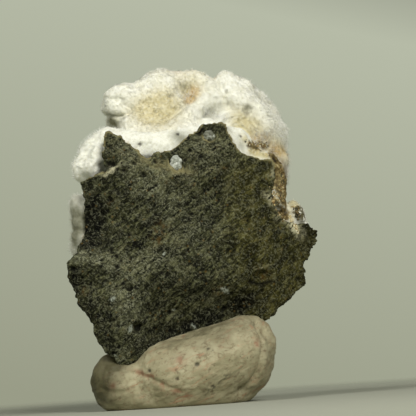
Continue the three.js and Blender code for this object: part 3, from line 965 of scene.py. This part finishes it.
def scatter(mesh, count):
    """Random points on a mesh of any faces, with their normals."""
    mesh.calc_loop_triangles()
    corners = np.empty(len(mesh.loop_triangles) * 3, np.int32)
    mesh.loop_triangles.foreach_get("vertices", corners)
    corners = corners.reshape(-1, 3)
    points = read_points(mesh)[corners]
    normals = read_normals(mesh)[corners]
    area = np.linalg.norm(
        np.cross(points[:, 1] - points[:, 0], points[:, 2] - points[:, 0]), axis=1
    )
    chosen = rng.choice(len(corners), count, p=area / area.sum())
    first, second = rng.random((2, count, 1))
    turned = first + second > 1
    first = np.where(turned, 1 - first, first)
    second = np.where(turned, 1 - second, second)
    weights = np.stack([1 - first - second, first, second], axis=1)
    return np.sum(points[chosen] * weights, axis=1), unit(np.sum(normals[chosen] * weights, axis=1))


def unit(vectors):
    return vectors / np.linalg.norm(vectors, axis=1, keepdims=True)


def stand_clear(ways, normals, least):
    """Turns the directions that run into a surface, so that they leave it by about least."""
    into = np.minimum(dot(ways, normals) - least, 0)
    return unit(ways - into[:, None] * normals)


def lean_of(points, wave, seed):
    """A direction that changes slowly from place to place, so that neighbours lie together."""
    parts = [smooth_noise(points, wave, seed + k) for k in range(3)]
    return np.stack(parts, axis=1)


def spikes(name, roots, ways, lengths, radius):
    """Closed three-sided spikes in one mesh: three points at the root and one at the tip."""
    count = len(roots)
    side = unit(np.cross(ways, rng.normal(size=(count, 3))))
    other = np.cross(ways, side)
    start = roots - ways * 0.15
    points = np.empty((count, SPIKE_POINTS, 3))
    for k in range(3):
        angle = 2 * math.pi * k / 3
        around = side * math.cos(angle) + other * math.sin(angle)
        points[:, k] = start + around * radius[:, None]
    points[:, 3] = roots + ways * lengths[:, None]
    pattern = np.array([(0, 2, 1), (0, 1, 3), (1, 2, 3), (2, 0, 3)])
    faces = (np.arange(count)[:, None, None] * SPIKE_POINTS + pattern).reshape(-1, 3)
    return mesh_from(name, points.reshape(-1, 3), faces)


def ball_fibres(core, neighbours):
    """Matted tufts of fibres on the near side and open, standing fibres on the far side."""
    points, normals = scatter(core, BALL_FIBRES)
    # Fibres keep away from the stone and the crust, apart from those in front of them.
    clear = np.min([distance_to(tree, points, 0.9) for tree in neighbours], axis=0) > 0.75
    clear |= (points[:, 1] < 8) & (points[:, 2] > 68) & (normals[:, 1] < 0)
    clear |= (points[:, 0] > 22) & (points[:, 2] > 62) & (normals[:, 1] < 0)
    points = points[clear]
    normals = normals[clear]
    far = np.maximum(far_side(points), 0.6 * ramp(normals[:, 0], 0.3, 0.9))
    _, number, middle = nearest_spot(points, 0.9, seed=15)
    lean = lean_of(points + middle, 2.6, 41) + 0.8 * lean_of(points + middle, 0.8, 47)
    loose = rng.normal(size=points.shape)
    ways = unit(
        normals * (0.25 + 0.85 * far)[:, None]
        + lean * (1.5 - 0.9 * far)[:, None]
        + loose * (0.22 + 0.14 * far)[:, None]
    )
    ways = stand_clear(ways, normals, 0.12)
    lengths = (0.65 + 0.65 * far) * rng.uniform(0.5, 1.2, len(points)) * (0.7 + 0.6 * number)
    flat = middle - dot(middle, normals)[:, None] * normals
    reach = ways * lengths[:, None] + (0.3 - 0.15 * far)[:, None] * flat
    lengths = np.linalg.norm(reach, axis=1)
    radius = rng.uniform(*FIBRE_RADIUS, len(points))
    dull = 0.6 * number**2 + 0.4 * rng.random(len(points)) ** 2
    return points, unit(reach), lengths, radius, dull


def okenite_ball(neighbours):
    core = ball_core()
    piece = new_piece("okenite_core", core, "okenite_puffball")
    core.materials.append(okenite_finish())
    finish = fibre_finish()
    points, ways, lengths, radius, dull = ball_fibres(core, neighbours)
    parts = 3
    for part in range(parts):
        chosen = slice(part, None, parts)
        name = f"okenite_fibres_{part + 1}"
        mesh = spikes(name, points[chosen], ways[chosen], lengths[chosen], radius[chosen])
        write_tints(mesh, np.repeat(points[chosen], SPIKE_POINTS, axis=0), **OKENITE_TINTS)
        write_masks(mesh, dull=np.repeat(dull[chosen], SPIKE_POINTS))
        mesh.materials.append(finish)
        new_piece(name, mesh)
    needles(core, finish)


# Sprays of long white needles: x and z of their foot, turn, spread, how many and their length.
SPRAYS = [
    (7.8, 79.0, 105, 45, 60, 2.0),
    (6.0, 78.2, 70, 40, 40, 1.7),
    (9.4, 80.2, 150, 40, 30, 1.6),
    (4.4, 79.6, 120, 60, 50, 1.3),
    (13.6, 73.4, 25, 50, 60, 2.3),
    (11.2, 74.6, -50, 45, 50, 2.0),
    (16.6, 72.0, 115, 45, 50, 2.3),
    (9.2, 72.2, 30, 50, 40, 1.7),
    (24.4, 68.8, -80, 50, 50, 1.7),
    (27.0, 68.2, -95, 45, 50, 1.8),
    (23.8, 65.6, 60, 70, 80, 1.3),
    (26.4, 65.8, 110, 70, 90, 1.3),
    (26.6, 77.6, 60, 25, 14, 2.2),
    (28.4, 64.4, -70, 50, 50, 1.3),
    (28.8, 68.4, -60, 60, 60, 1.5),
    (30.2, 66.8, -100, 50, 40, 1.3),
    (25.4, 67.0, 100, 70, 90, 1.5),
    (27.4, 66.4, 60, 60, 60, 1.5),
    (13.0, 74.6, -80, 50, 30, 1.5),
]


def needles(core, finish):
    """Long needles that stand in sprays or cross the hollows of the ball's near side."""
    tree = tree_of(core)
    draws = np.random.default_rng(63)
    roots = []
    ways = []
    lengths = []
    for x, z, turn, spread, count, length in SPRAYS:
        for _ in range(count):
            root = on_front([tree], x + draws.normal(scale=0.7), z + draws.normal(scale=0.7))
            if root is None:
                continue
            angle = math.radians(turn + draws.normal(scale=spread))
            roots.append(root)
            ways.append((math.cos(angle), -draws.uniform(0.1, 0.6), math.sin(angle)))
            lengths.append(length * draws.uniform(0.4, 1.1))
    roots = np.array(roots)
    radius = draws.uniform(*FIBRE_RADIUS, len(roots))
    mesh = spikes("okenite_needles", roots, unit(np.array(ways)), np.array(lengths), radius)
    share = np.repeat(0.6 * draws.random(len(roots)) ** 2, SPIKE_POINTS)
    write_tints(mesh, np.repeat(roots, SPIKE_POINTS, axis=0), share, **OKENITE_TINTS)
    mesh.materials.append(finish)
    new_piece("okenite_needles", mesh)


# ---- Crust ----

# Where the crust is brown rubble, straw yellow, glassy, grey with painted shade, green or pitted dark: x,
# y, z, reach and strength. The bulges' last number is how far out they stand.
RUBBLE = [
    (22.1, 6.9, 64.7, 1.2, 0.6),
    (24.2, 9.0, 64.6, 1.9, 1.1),
    (28.4, 10, 61.6, 1.8, 1.1),
    (29.4, 10, 58.4, 2.4, 1.6),
    (29.8, 10.4, 54.6, 2.4, 1.6),
    (29.6, 10, 51.0, 2.2, 1.2),
    (29.4, 9.9, 46.3, 1.8, 1.1),
    (31.8, 9.0, 43.6, 1.4, 0.6),
]
STRAW = [
    (21.2, 6.2, 66.2, 1.4, 0.8),
    (22.2, 6.9, 62.9, 1.2, 0.8),
    (24.2, 7.5, 62.3, 1.6, 1.0),
    (26.4, 8.2, 61.8, 1.3, 0.9),
    (28.2, 8.4, 50.4, 2.2, 0.6),
    (32.6, 12.0, 49.4, 2.0, 1.0),
    (31.4, 10.2, 46.0, 1.6, 0.6),
]
CRUST_BULGES = [
    (-22.0, 0.8, 53.0, 2.0, 1.3),
    (-22.3, 1.0, 51.8, 2.6, 0.6),
    (-22.6, 0.0, 47.8, 2.4, 0.5),
    (-22.8, 0.6, 54.8, 1.6, 0.9),
    (-21.6, -0.9, 62.2, 2.0, -1.4),
    (-19.8, -0.7, 65.0, 2.2, -1.5),
    (-17.8, 0.0, 67.4, 2.0, -1.2),
    (32.4, 12.0, 49.6, 1.0, 0.6),
    (34.4, 11.4, 47.4, 0.9, 0.5),
    (34.6, 11.0, 45.4, 0.9, 0.5),
    (33.3, 11.0, 48.2, 0.7, -0.6),
    (33.4, 10.4, 46.4, 0.7, -0.5),
]
CRUST_GLASS = [
    (13.6, 7.5, 73.4, 1.6, 0.6),
    (11.0, 7.0, 72.6, 1.0, 0.6),
]
# Mostly painted shade, partly grey glassy crust.
CRUST_GREY_AND_SHADE = [
    (5.5, 1.0, 66.6, 2.0, 0.8),
    (3.5, 0.8, 67.8, 1.6, 0.5),
    (17.0, 5.3, 69.0, 1.4, 0.5),
    (18.6, 5.5, 66.4, 1.2, 0.5),
    (20.0, 5.0, 64.4, 1.2, 0.5),
    (-21.8, -0.5, 48.0, 4.2, 1.2),
    (-22.2, -0.5, 42.6, 3.6, 0.9),
    (-22.6, 0.5, 53.4, 2.0, 0.3),
    (28.0, 8.2, 51.0, 1.8, 0.5),
    (-19.0, -2.0, 60.2, 1.6, 0.35),
    (-15.6, -0.6, 61.6, 1.0, 0.5),
]
CRUST_GREEN = [
    (34.2, 11.4, 47.6, 1.5, 1.0),
    (34.4, 11.0, 45.6, 1.8, 1.0),
    (33.0, 10.8, 46.6, 1.0, 1.0),
]
CRUST_DARK = [
    (4.3, 1.5, 68.0, 0.55, 1.0),
    (-5.3, -1.4, 65.7, 0.6, 0.95),
    (20.2, 5.9, 67.0, 0.5, 0.8),
    (26.1, 10.5, 64.8, 0.6, 0.9),
    (28.5, 9.7, 60.8, 1.1, 1.0),
    (-20.5, -1.4, 58.0, 0.6, 0.7),
    (21.3, 6.1, 65.6, 0.35, 0.8),
    (22.4, 7.2, 64.6, 0.35, 0.9),
    (29.9, 10.4, 57.0, 0.6, 0.7),
    (29.9, 10.4, 54.2, 0.6, 0.7),
]


def crust(basalt_tree):
    mesh = even_skin("vug_crust", voxel=0.42, smoothing=6)
    points = read_points(mesh)
    rubble = np.clip(tint(points, RUBBLE), 0, 1)
    height = 0.25 * rough_noise(points, 3.0, 2, seed=51)
    for x, y, z, reach, out in CRUST_BULGES:
        height += out * blob(points, (x, y, z), reach)
    away = nearest_spot(points, 1.5, seed=6)[0]
    height += (0.16 + 0.3 * rubble) * (0.7 - away / 1.5)
    height += (0.1 + 0.22 * rubble) * rough_noise(points, 0.9, 2, seed=55, keep=0.7)
    dark = tint(points, CRUST_DARK)
    height -= 0.5 * np.clip(dark, 0, 1)
    height += 0.1
    points = push_out(mesh, height)
    rim = 1 - ramp(distance_to(basalt_tree, points, 1.2), 0.35, 0.9)
    rim *= ramp(-read_normals(mesh)[:, 1], -0.2, 0.4)
    patchy = ramp(rough_noise(points, 1.2, 3, seed=59, keep=0.7), -0.6, 0.1)
    write_tints(mesh, points, straw=STRAW, grey=CRUST_GREY_AND_SHADE)
    write_masks(
        mesh,
        rim=rim * ramp(rough_noise(points, 1.2, 2, seed=58), -0.5, 0.3),
        rubble=ramp(rubble + 0.25 * rough_noise(points, 1.2, 3, seed=57), 0.2, 0.6),
        glass=ramp(tint(points, CRUST_GLASS), 0.3, 0.6),
        green=tint(points, CRUST_GREEN) * patchy,
        dark=ramp(dark, 0.3, 0.8),
    )
    shade_smooth(mesh)
    mesh.materials.append(crust_finish())
    piece = new_piece("crust", mesh, "vug_crust")
    return mesh


def crust_fibres(mesh):
    """A short nap on the white parts of the crust, as on the ball that it carries."""
    points, normals = scatter(mesh, CRUST_FIBRES)
    bare = tint(points, RUBBLE) + tint(points, CRUST_GREEN) + tint(points, CRUST_GLASS)
    white = (bare < rng.uniform(0.1, 0.5, len(points))) & (normals[:, 2] > -0.6)
    points = points[white]
    normals = normals[white]
    left = ramp(points[:, 0], -13, -17)
    ways = unit(
        0.7 * normals
        + lean_of(points, 2.0, 61)
        + left[:, None] * np.array((-0.9, -0.3, 0.7))
        + rng.normal(scale=0.3, size=points.shape)
    )
    ways = stand_clear(ways, normals, 0.15)
    lengths = rng.uniform(0.25, 0.7, len(points)) * (1 + 0.9 * left)
    mesh = spikes("crust_fibres", points, ways, lengths, rng.uniform(0.03, 0.05, len(points)))
    roots = np.repeat(points, SPIKE_POINTS, axis=0)
    write_tints(mesh, roots, ochre=STRAW, grey=CRUST_GREY_AND_SHADE, dark=CRUST_DARK)
    mesh.materials.append(fibre_finish())
    new_piece("crust_fibres", mesh)


# ---- Loose grains and crystals on the crust ----

# Beds of small crystals: a path in x and z, its half width, how many, their size, how pale they
# are and how much that differs.
GRAIN_BEDS = [
    ([(22.0, 65.4), (27.0, 65.0)], 0.9, 130, 0.35, 0.4, 0.28),
    ([(22.4, 63.2), (25.2, 62.6), (27.0, 62.2)], 0.7, 40, 0.6, 0.72, 0.08),
    ([(30.0, 59.4), (30.0, 56.0), (29.6, 50.0)], 0.9, 420, 0.4, 0.3, 0.2),
    ([(28.2, 52.4), (27.8, 49.0)], 1.0, 150, 0.4, 0.56, 0.2),
    ([(31.6, 50.0), (33.0, 48.8)], 0.8, 60, 0.4, 0.55, 0.18),
    ([(33.6, 48.2), (34.2, 45.4)], 0.9, 160, 0.5, 0.16, 0.14),
    ([(30.8, 47.2), (31.8, 44.6)], 0.6, 90, 0.4, 0.74, 0.14),
    ([(32.0, 43.8), (33.0, 41.4)], 0.5, 60, 0.35, 0.7, 0.16),
    ([(28.8, 47.2), (29.6, 45.4)], 0.9, 90, 0.4, 0.36, 0.2),
]


def on_front(trees, x, z):
    """The point of the solids that a viewer of the broken face sees at x and z."""
    hits = [tree.ray_cast(Vector((x, -60, z)) * MM, Vector((0, 1, 0)))[0] for tree in trees]
    hits = [hit for hit in hits if hit]
    return np.array(min(hits, key=lambda hit: hit.y)) / MM if hits else None


def bed_spots(trees, draws, path, width, count):
    """Random places on the solids along a path in x and z."""
    steps = [np.array(end) - np.array(start) for start, end in zip(path[:-1], path[1:])]
    shares = np.array([np.linalg.norm(step) for step in steps])
    spots = []
    for k in draws.choice(len(steps), count, p=shares / shares.sum()):
        x, z = np.array(path[k]) + steps[k] * draws.random() + draws.normal(scale=width / 2, size=2)
        spot = on_front(trees, x, z)
        if spot is not None:
            spots.append(spot)
    return spots


def grains_finish():
    grain = Finish("crust_grains", roughness=0.45, specular=0.4)
    grain.colour = grain.colours(
        grain.mask("tone"),
        (0.0, (40, 38, 24)),
        (0.2, (80, 74, 42)),
        (0.4, (130, 102, 56)),
        (0.65, (194, 176, 124)),
        (1.0, (230, 228, 206)),
    )
    return grain.finish()


def grains(trees):
    """Small tilted crystals on the crust and the ball's foot, each with a tone of its own."""
    draws = np.random.default_rng(62)
    all_points = []
    tones = []
    for path, width, count, largest, pale, variety in GRAIN_BEDS:
        for spot in bed_spots(trees, draws, path, width, count):
            size = largest * draws.uniform(0.4, 1) * np.array((1, 1, 1.3))
            turn = Matrix.Rotation(draws.uniform(0, math.pi), 3, Vector(draws.normal(size=3)))
            all_points.append(spot + BLOCK @ np.diag(size / 2) @ np.array(turn))
            tones.append(np.clip(pale + draws.normal(scale=variety), 0, 1))
    faces = np.concatenate([BLOCK_FACES + len(BLOCK) * k for k in range(len(all_points))])
    mesh = mesh_from("crust_grains", np.concatenate(all_points), faces)
    write_masks(mesh, tone=np.repeat(tones, len(BLOCK)))
    mesh.materials.append(grains_finish())
    new_piece("crust_grains", mesh)


# ---- Crystal fillings ----


def crystal_filling(node, brightness):
    """A bubble's filling of crystals grown together, each with a height and a tone of its own."""
    mesh = even_skin(node, voxel=0.14, smoothing=3)
    points = read_points(mesh)
    away, number, _ = nearest_spot(points, 0.85, seed=12)
    push_out(mesh, 0.1 + 0.3 * (number - 0.5) - 0.35 * (away - 0.3))
    write_masks(mesh, tone=brightness + 0.5 * (number - 0.5))
    return mesh


def fillings():
    finish = crystal_finish()
    for node, brightness in (("amygdale_upper", 0.72), ("amygdale_peak", 0.42)):
        mesh = crystal_filling(node, brightness)
        mesh.materials.append(finish)
        piece = new_piece(node + "_crystals", mesh, node)


# ---- Putty ----

# Creases of the near side: their path as x and z, their width and how far out.
PUTTY_CREASES = [
    ([(-14.5, 10.6), (-11.0, 9.2), (-6.1, 7.4), (-2.6, 5.3), (1.0, 3.8)], 0.5, -0.35),
    ([(20.6, 19.8), (21.8, 16.7), (22.0, 12.3), (20.6, 8.0), (17.9, 4.8), (15.4, 3.0)], 0.55, -0.9),
    ([(-18.0, 5.5), (-14.5, 4.2), (-11.8, 4.6)], 0.6, -0.25),
]
# Swellings of the putty: x, y, z, reach and how far out.
PUTTY_BULGES = [
    (-17.5, -3.0, 12.8, 2.6, 1.4),
    (-20.5, -4.0, 9.0, 3.0, 0.7),
    (24.0, -6.0, 18.6, 3.6, -2.6),
    (4.5, -6.0, 17.4, 4.2, -1.4),
    (5.0, -2.8, 18.6, 3.2, -1.3),
    (10.8, -3.4, 20.2, 3.4, -1.0),
]
# Painted shade, on the left roll under the stone, by the stone's tip, along the top, beside the right
# crease and near the floor: x and z, half sizes, turn and strength.
PUTTY_SHADE_PATCHES = [
    (-18.5, 9.0, 4.2, 6.5, 0, 1.2),
    (-20.5, 4.5, 4.0, 4.0, 0, 0.5),
    (-6.0, 2.0, 14.0, 1.8, 0, 0.3),
    (12.0, 2.2, 12.0, 2.2, 10, 0.3),
    (23.4, 9.0, 1.6, 8.0, 0, 0.2),
    (6.0, 17.6, 12.0, 1.0, 17, 0.6),
    (12.0, 17.0, 11.0, 2.6, 20, 0.45),
    (16.5, 5.0, 5.0, 2.4, 40, 0.15),
    (-14.2, 12.0, 2.6, 1.4, -40, 1.5),
]
# Pits: x, z, radius and depth. Stains and dirt: x and z, half sizes and turn.
PUTTY_PITS = [
    (5.4, 10.0, 0.75, 0.7),
    (8.3, 13.6, 0.45, 0.4),
    (-6.4, 9.2, 0.5, 0.5),
    (0.5, 6.8, 0.5, 0.3),
]
PUTTY_STAINS = [
    (-8.6, 8.9, 2.4, 0.6, -20),
    (-6.4, 8.2, 2.2, 0.5, -20),
    (1.5, 11.4, 1.3, 1.1, 0),
    (0.5, 3.6, 3.5, 0.9, -24),
    (-3.5, 5.8, 2.5, 0.7, -30),
    (12.5, 15.0, 2.5, 0.5, 60),
    (-15.5, 6.2, 1.2, 0.8, 0),
    (20.2, 14.0, 0.7, 1.4, 10),
]
PUTTY_DIRT = [
    (9.0, 4.6, 2.6, 0.9, 35),
    (12.0, 6.6, 1.6, 0.8, 35),
    (8.0, 13.8, 0.6, 0.35, -25),
    (9.2, 13.2, 0.4, 0.3, -25),
    (-6.4, 9.2, 0.6, 0.4, -20),
    (0.2, 11.9, 0.5, 0.5, 0),
]


def putty():
    mesh = even_skin("mounting_putty", voxel=0.4, smoothing=16)
    points = read_points(mesh)
    near = ramp(-read_normals(mesh)[:, 1], -0.3, 0.4)
    low = ramp(points[:, 2], 0.2, 1.6)
    height = 0.3 * rough_noise(points, 7, 2, seed=71)
    for x, y, z, reach, out in PUTTY_BULGES:
        height += out * blob(points, (x, y, z), reach)
    along, across = turned(points[:, 0], points[:, 2], 20)
    kneaded = np.stack([along / 5.5, points[:, 1] / 3, across / 1.5], axis=1)
    height += 0.16 * rough_noise(kneaded, 1, 4, seed=73, keep=0.65)
    height += 0.08 * rough_noise(points, 1.2, 2, seed=77)
    for path, width, out in PUTTY_CREASES:
        height += out * near * line_mark(points, path, width)
    dirt = np.zeros(len(points))
    for x, z, size, depth in PUTTY_PITS:
        inside = face_blob(points, (x, z), (size, size)) * near
        height -= depth * inside
        dirt = np.maximum(dirt, ramp(inside, 0.3, 0.8))
    points = read_points(mesh) + read_normals(mesh) * (height * low)[:, None]
    points[:, 2] = np.maximum(points[:, 2], 0)
    write_points(mesh, points)
    spots = ramp(smooth_noise(points, 0.8, seed=81), 0.0, 0.35)
    for x, z, *size, turn in PUTTY_DIRT:
        dirt = np.maximum(dirt, spots * face_blob(points, (x, z), size, turn))
    uneven = ramp(rough_noise(points, 1.4, 3, seed=79), -0.4, 0.4)
    stain = face_blobs(points, PUTTY_STAINS) * uneven
    write_masks(mesh, stain=stain * near, dirt=dirt * near, grime=face_patches(points, PUTTY_SHADE_PATCHES))
    shade_smooth(mesh)
    mesh.materials.append(putty_finish())
    piece = new_piece("putty", mesh, "mounting_putty")


# ---- Floor, light and camera ----

CAMERA_AT = (10.583, -420.0, 8.0)
CAMERA_PITCH = 5.527
CAMERA_ROLL = 3.9
LENS = 146.06
SENSOR = 36.0
# The studio brightens upwards and a little to the right. Its shade at each height, from -1
# straight down to 1 straight up.
WORLD_CLIMB = (0.3, 0, 1)
WORLD_SHADES = [
    (-0.04, (153, 156, 135)),
    (0.22, (182, 187, 167)),
    (0.28, (140, 143, 129)),
    (0.4, (70, 72, 66)),
]
FLOOR_RADIUS = 1600.0
FLOOR_FADES = (60, 330)  # where the floor begins to fade and where it is gone
FLOOR_SIDES = 96


def floor():
    """A pale disc whose far part fades out, so that no horizon shows."""
    angles = np.arange(FLOOR_SIDES) * 2 * math.pi / FLOOR_SIDES
    ring = np.stack([np.cos(angles), np.sin(angles), 0 * angles], axis=1) * FLOOR_RADIUS
    mesh = mesh_from("floor", ring, np.arange(FLOOR_SIDES)[None, :])
    disc = bpy.data.objects.new("floor", mesh)
    bpy.context.scene.collection.objects.link(disc)
    pale = Finish("floor", roughness=0.9, specular=0.1)
    away = pale.node("ShaderNodeVectorMath", operation="LENGTH")
    pale.link(pale.place, away.inputs[0])
    clear = pale.node("ShaderNodeBsdfTransparent")
    mixed = pale.node("ShaderNodeMixShader")
    pale.link(pale.stretch(away.outputs["Value"], *FLOOR_FADES, 1, 0), mixed.inputs["Fac"])
    pale.link(clear.outputs["BSDF"], mixed.inputs[1])
    pale.link(pale.shader.outputs["BSDF"], mixed.inputs[2])
    pale.link(mixed.outputs["Shader"], pale.tree.nodes["Material Output"].inputs["Surface"])
    pale.colour = pale.mix(pale.noise(300, detail=1), (172, 174, 159), (176, 178, 163))
    mesh.materials.append(pale.finish())


def world():
    """A pale backdrop all round that brightens upwards, under a dimmer ceiling."""
    sky = bpy.data.worlds.new("studio")
    bpy.context.scene.world = sky
    sky.use_nodes = True
    tree = sky.node_tree
    place = tree.nodes.new("ShaderNodeTexCoord")
    climb = tree.nodes.new("ShaderNodeVectorMath")
    climb.operation = "DOT_PRODUCT"
    climb.inputs[1].default_value = WORLD_CLIMB
    rise = tree.nodes.new("ShaderNodeMapRange")
    rise.inputs["From Min"].default_value = -1
    rise.inputs["From Max"].default_value = 1
    shades = tree.nodes.new("ShaderNodeValToRGB")
    fill_ramp(shades, [((height + 1) / 2, colour) for height, colour in WORLD_SHADES])
    tree.links.new(place.outputs["Generated"], climb.inputs[0])
    tree.links.new(climb.outputs["Value"], rise.inputs["Value"])
    tree.links.new(rise.outputs["Result"], shades.inputs["Fac"])
    tree.links.new(shades.outputs["Color"], tree.nodes["Background"].inputs["Color"])


def softbox(name, at, size, watts, colour):
    data = bpy.data.lights.new(name, "AREA")
    data.shape = "DISK"
    data.size = size * MM
    data.energy = watts
    data.color = colour
    light = bpy.data.objects.new(name, data)
    bpy.context.scene.collection.objects.link(light)
    light.location = Vector(at) * MM
    aim = Vector((8, 10, 45)) * MM - light.location
    light.rotation_euler = aim.to_track_quat("-Z", "Y").to_euler()


def camera():
    data = bpy.data.cameras.new("camera")
    data.sensor_width = SENSOR
    data.lens = LENS
    view = bpy.data.objects.new("camera", data)
    bpy.context.scene.collection.objects.link(view)
    pitch = math.radians(CAMERA_PITCH)
    roll = math.radians(CAMERA_ROLL)
    level = Vector((1, 0, 0))
    raised = Vector((0, -math.sin(pitch), math.cos(pitch)))
    forward = Vector((0, math.cos(pitch), math.sin(pitch)))
    right = level * math.cos(roll) - raised * math.sin(roll)
    up = raised * math.cos(roll) + level * math.sin(roll)
    matrix = Matrix((right, up, -forward)).transposed().to_4x4()
    matrix.translation = Vector(CAMERA_AT) * MM
    view.matrix_world = matrix
    bpy.context.scene.camera = view


# ---- The scene ----

camera()
floor()
world()
softbox("key", at=(220, -560, 380), size=240, watts=3.6, colour=(1.0, 0.985, 0.93))
softbox("fill", at=(-300, -330, 560), size=300, watts=1.6, colour=(1.0, 0.99, 0.96))
bpy.context.scene.view_settings.view_transform = "Standard"

SOLIDS = ("basalt_matrix", "okenite_puffball", "vug_crust")
trees = {node: tree_of(frame["nodes"][node].data) for node in SOLIDS}
basalt()
okenite_ball([trees["basalt_matrix"], trees["vug_crust"]])
crust_fibres(crust(trees["basalt_matrix"]))
grains(trees.values())
fillings()
putty()
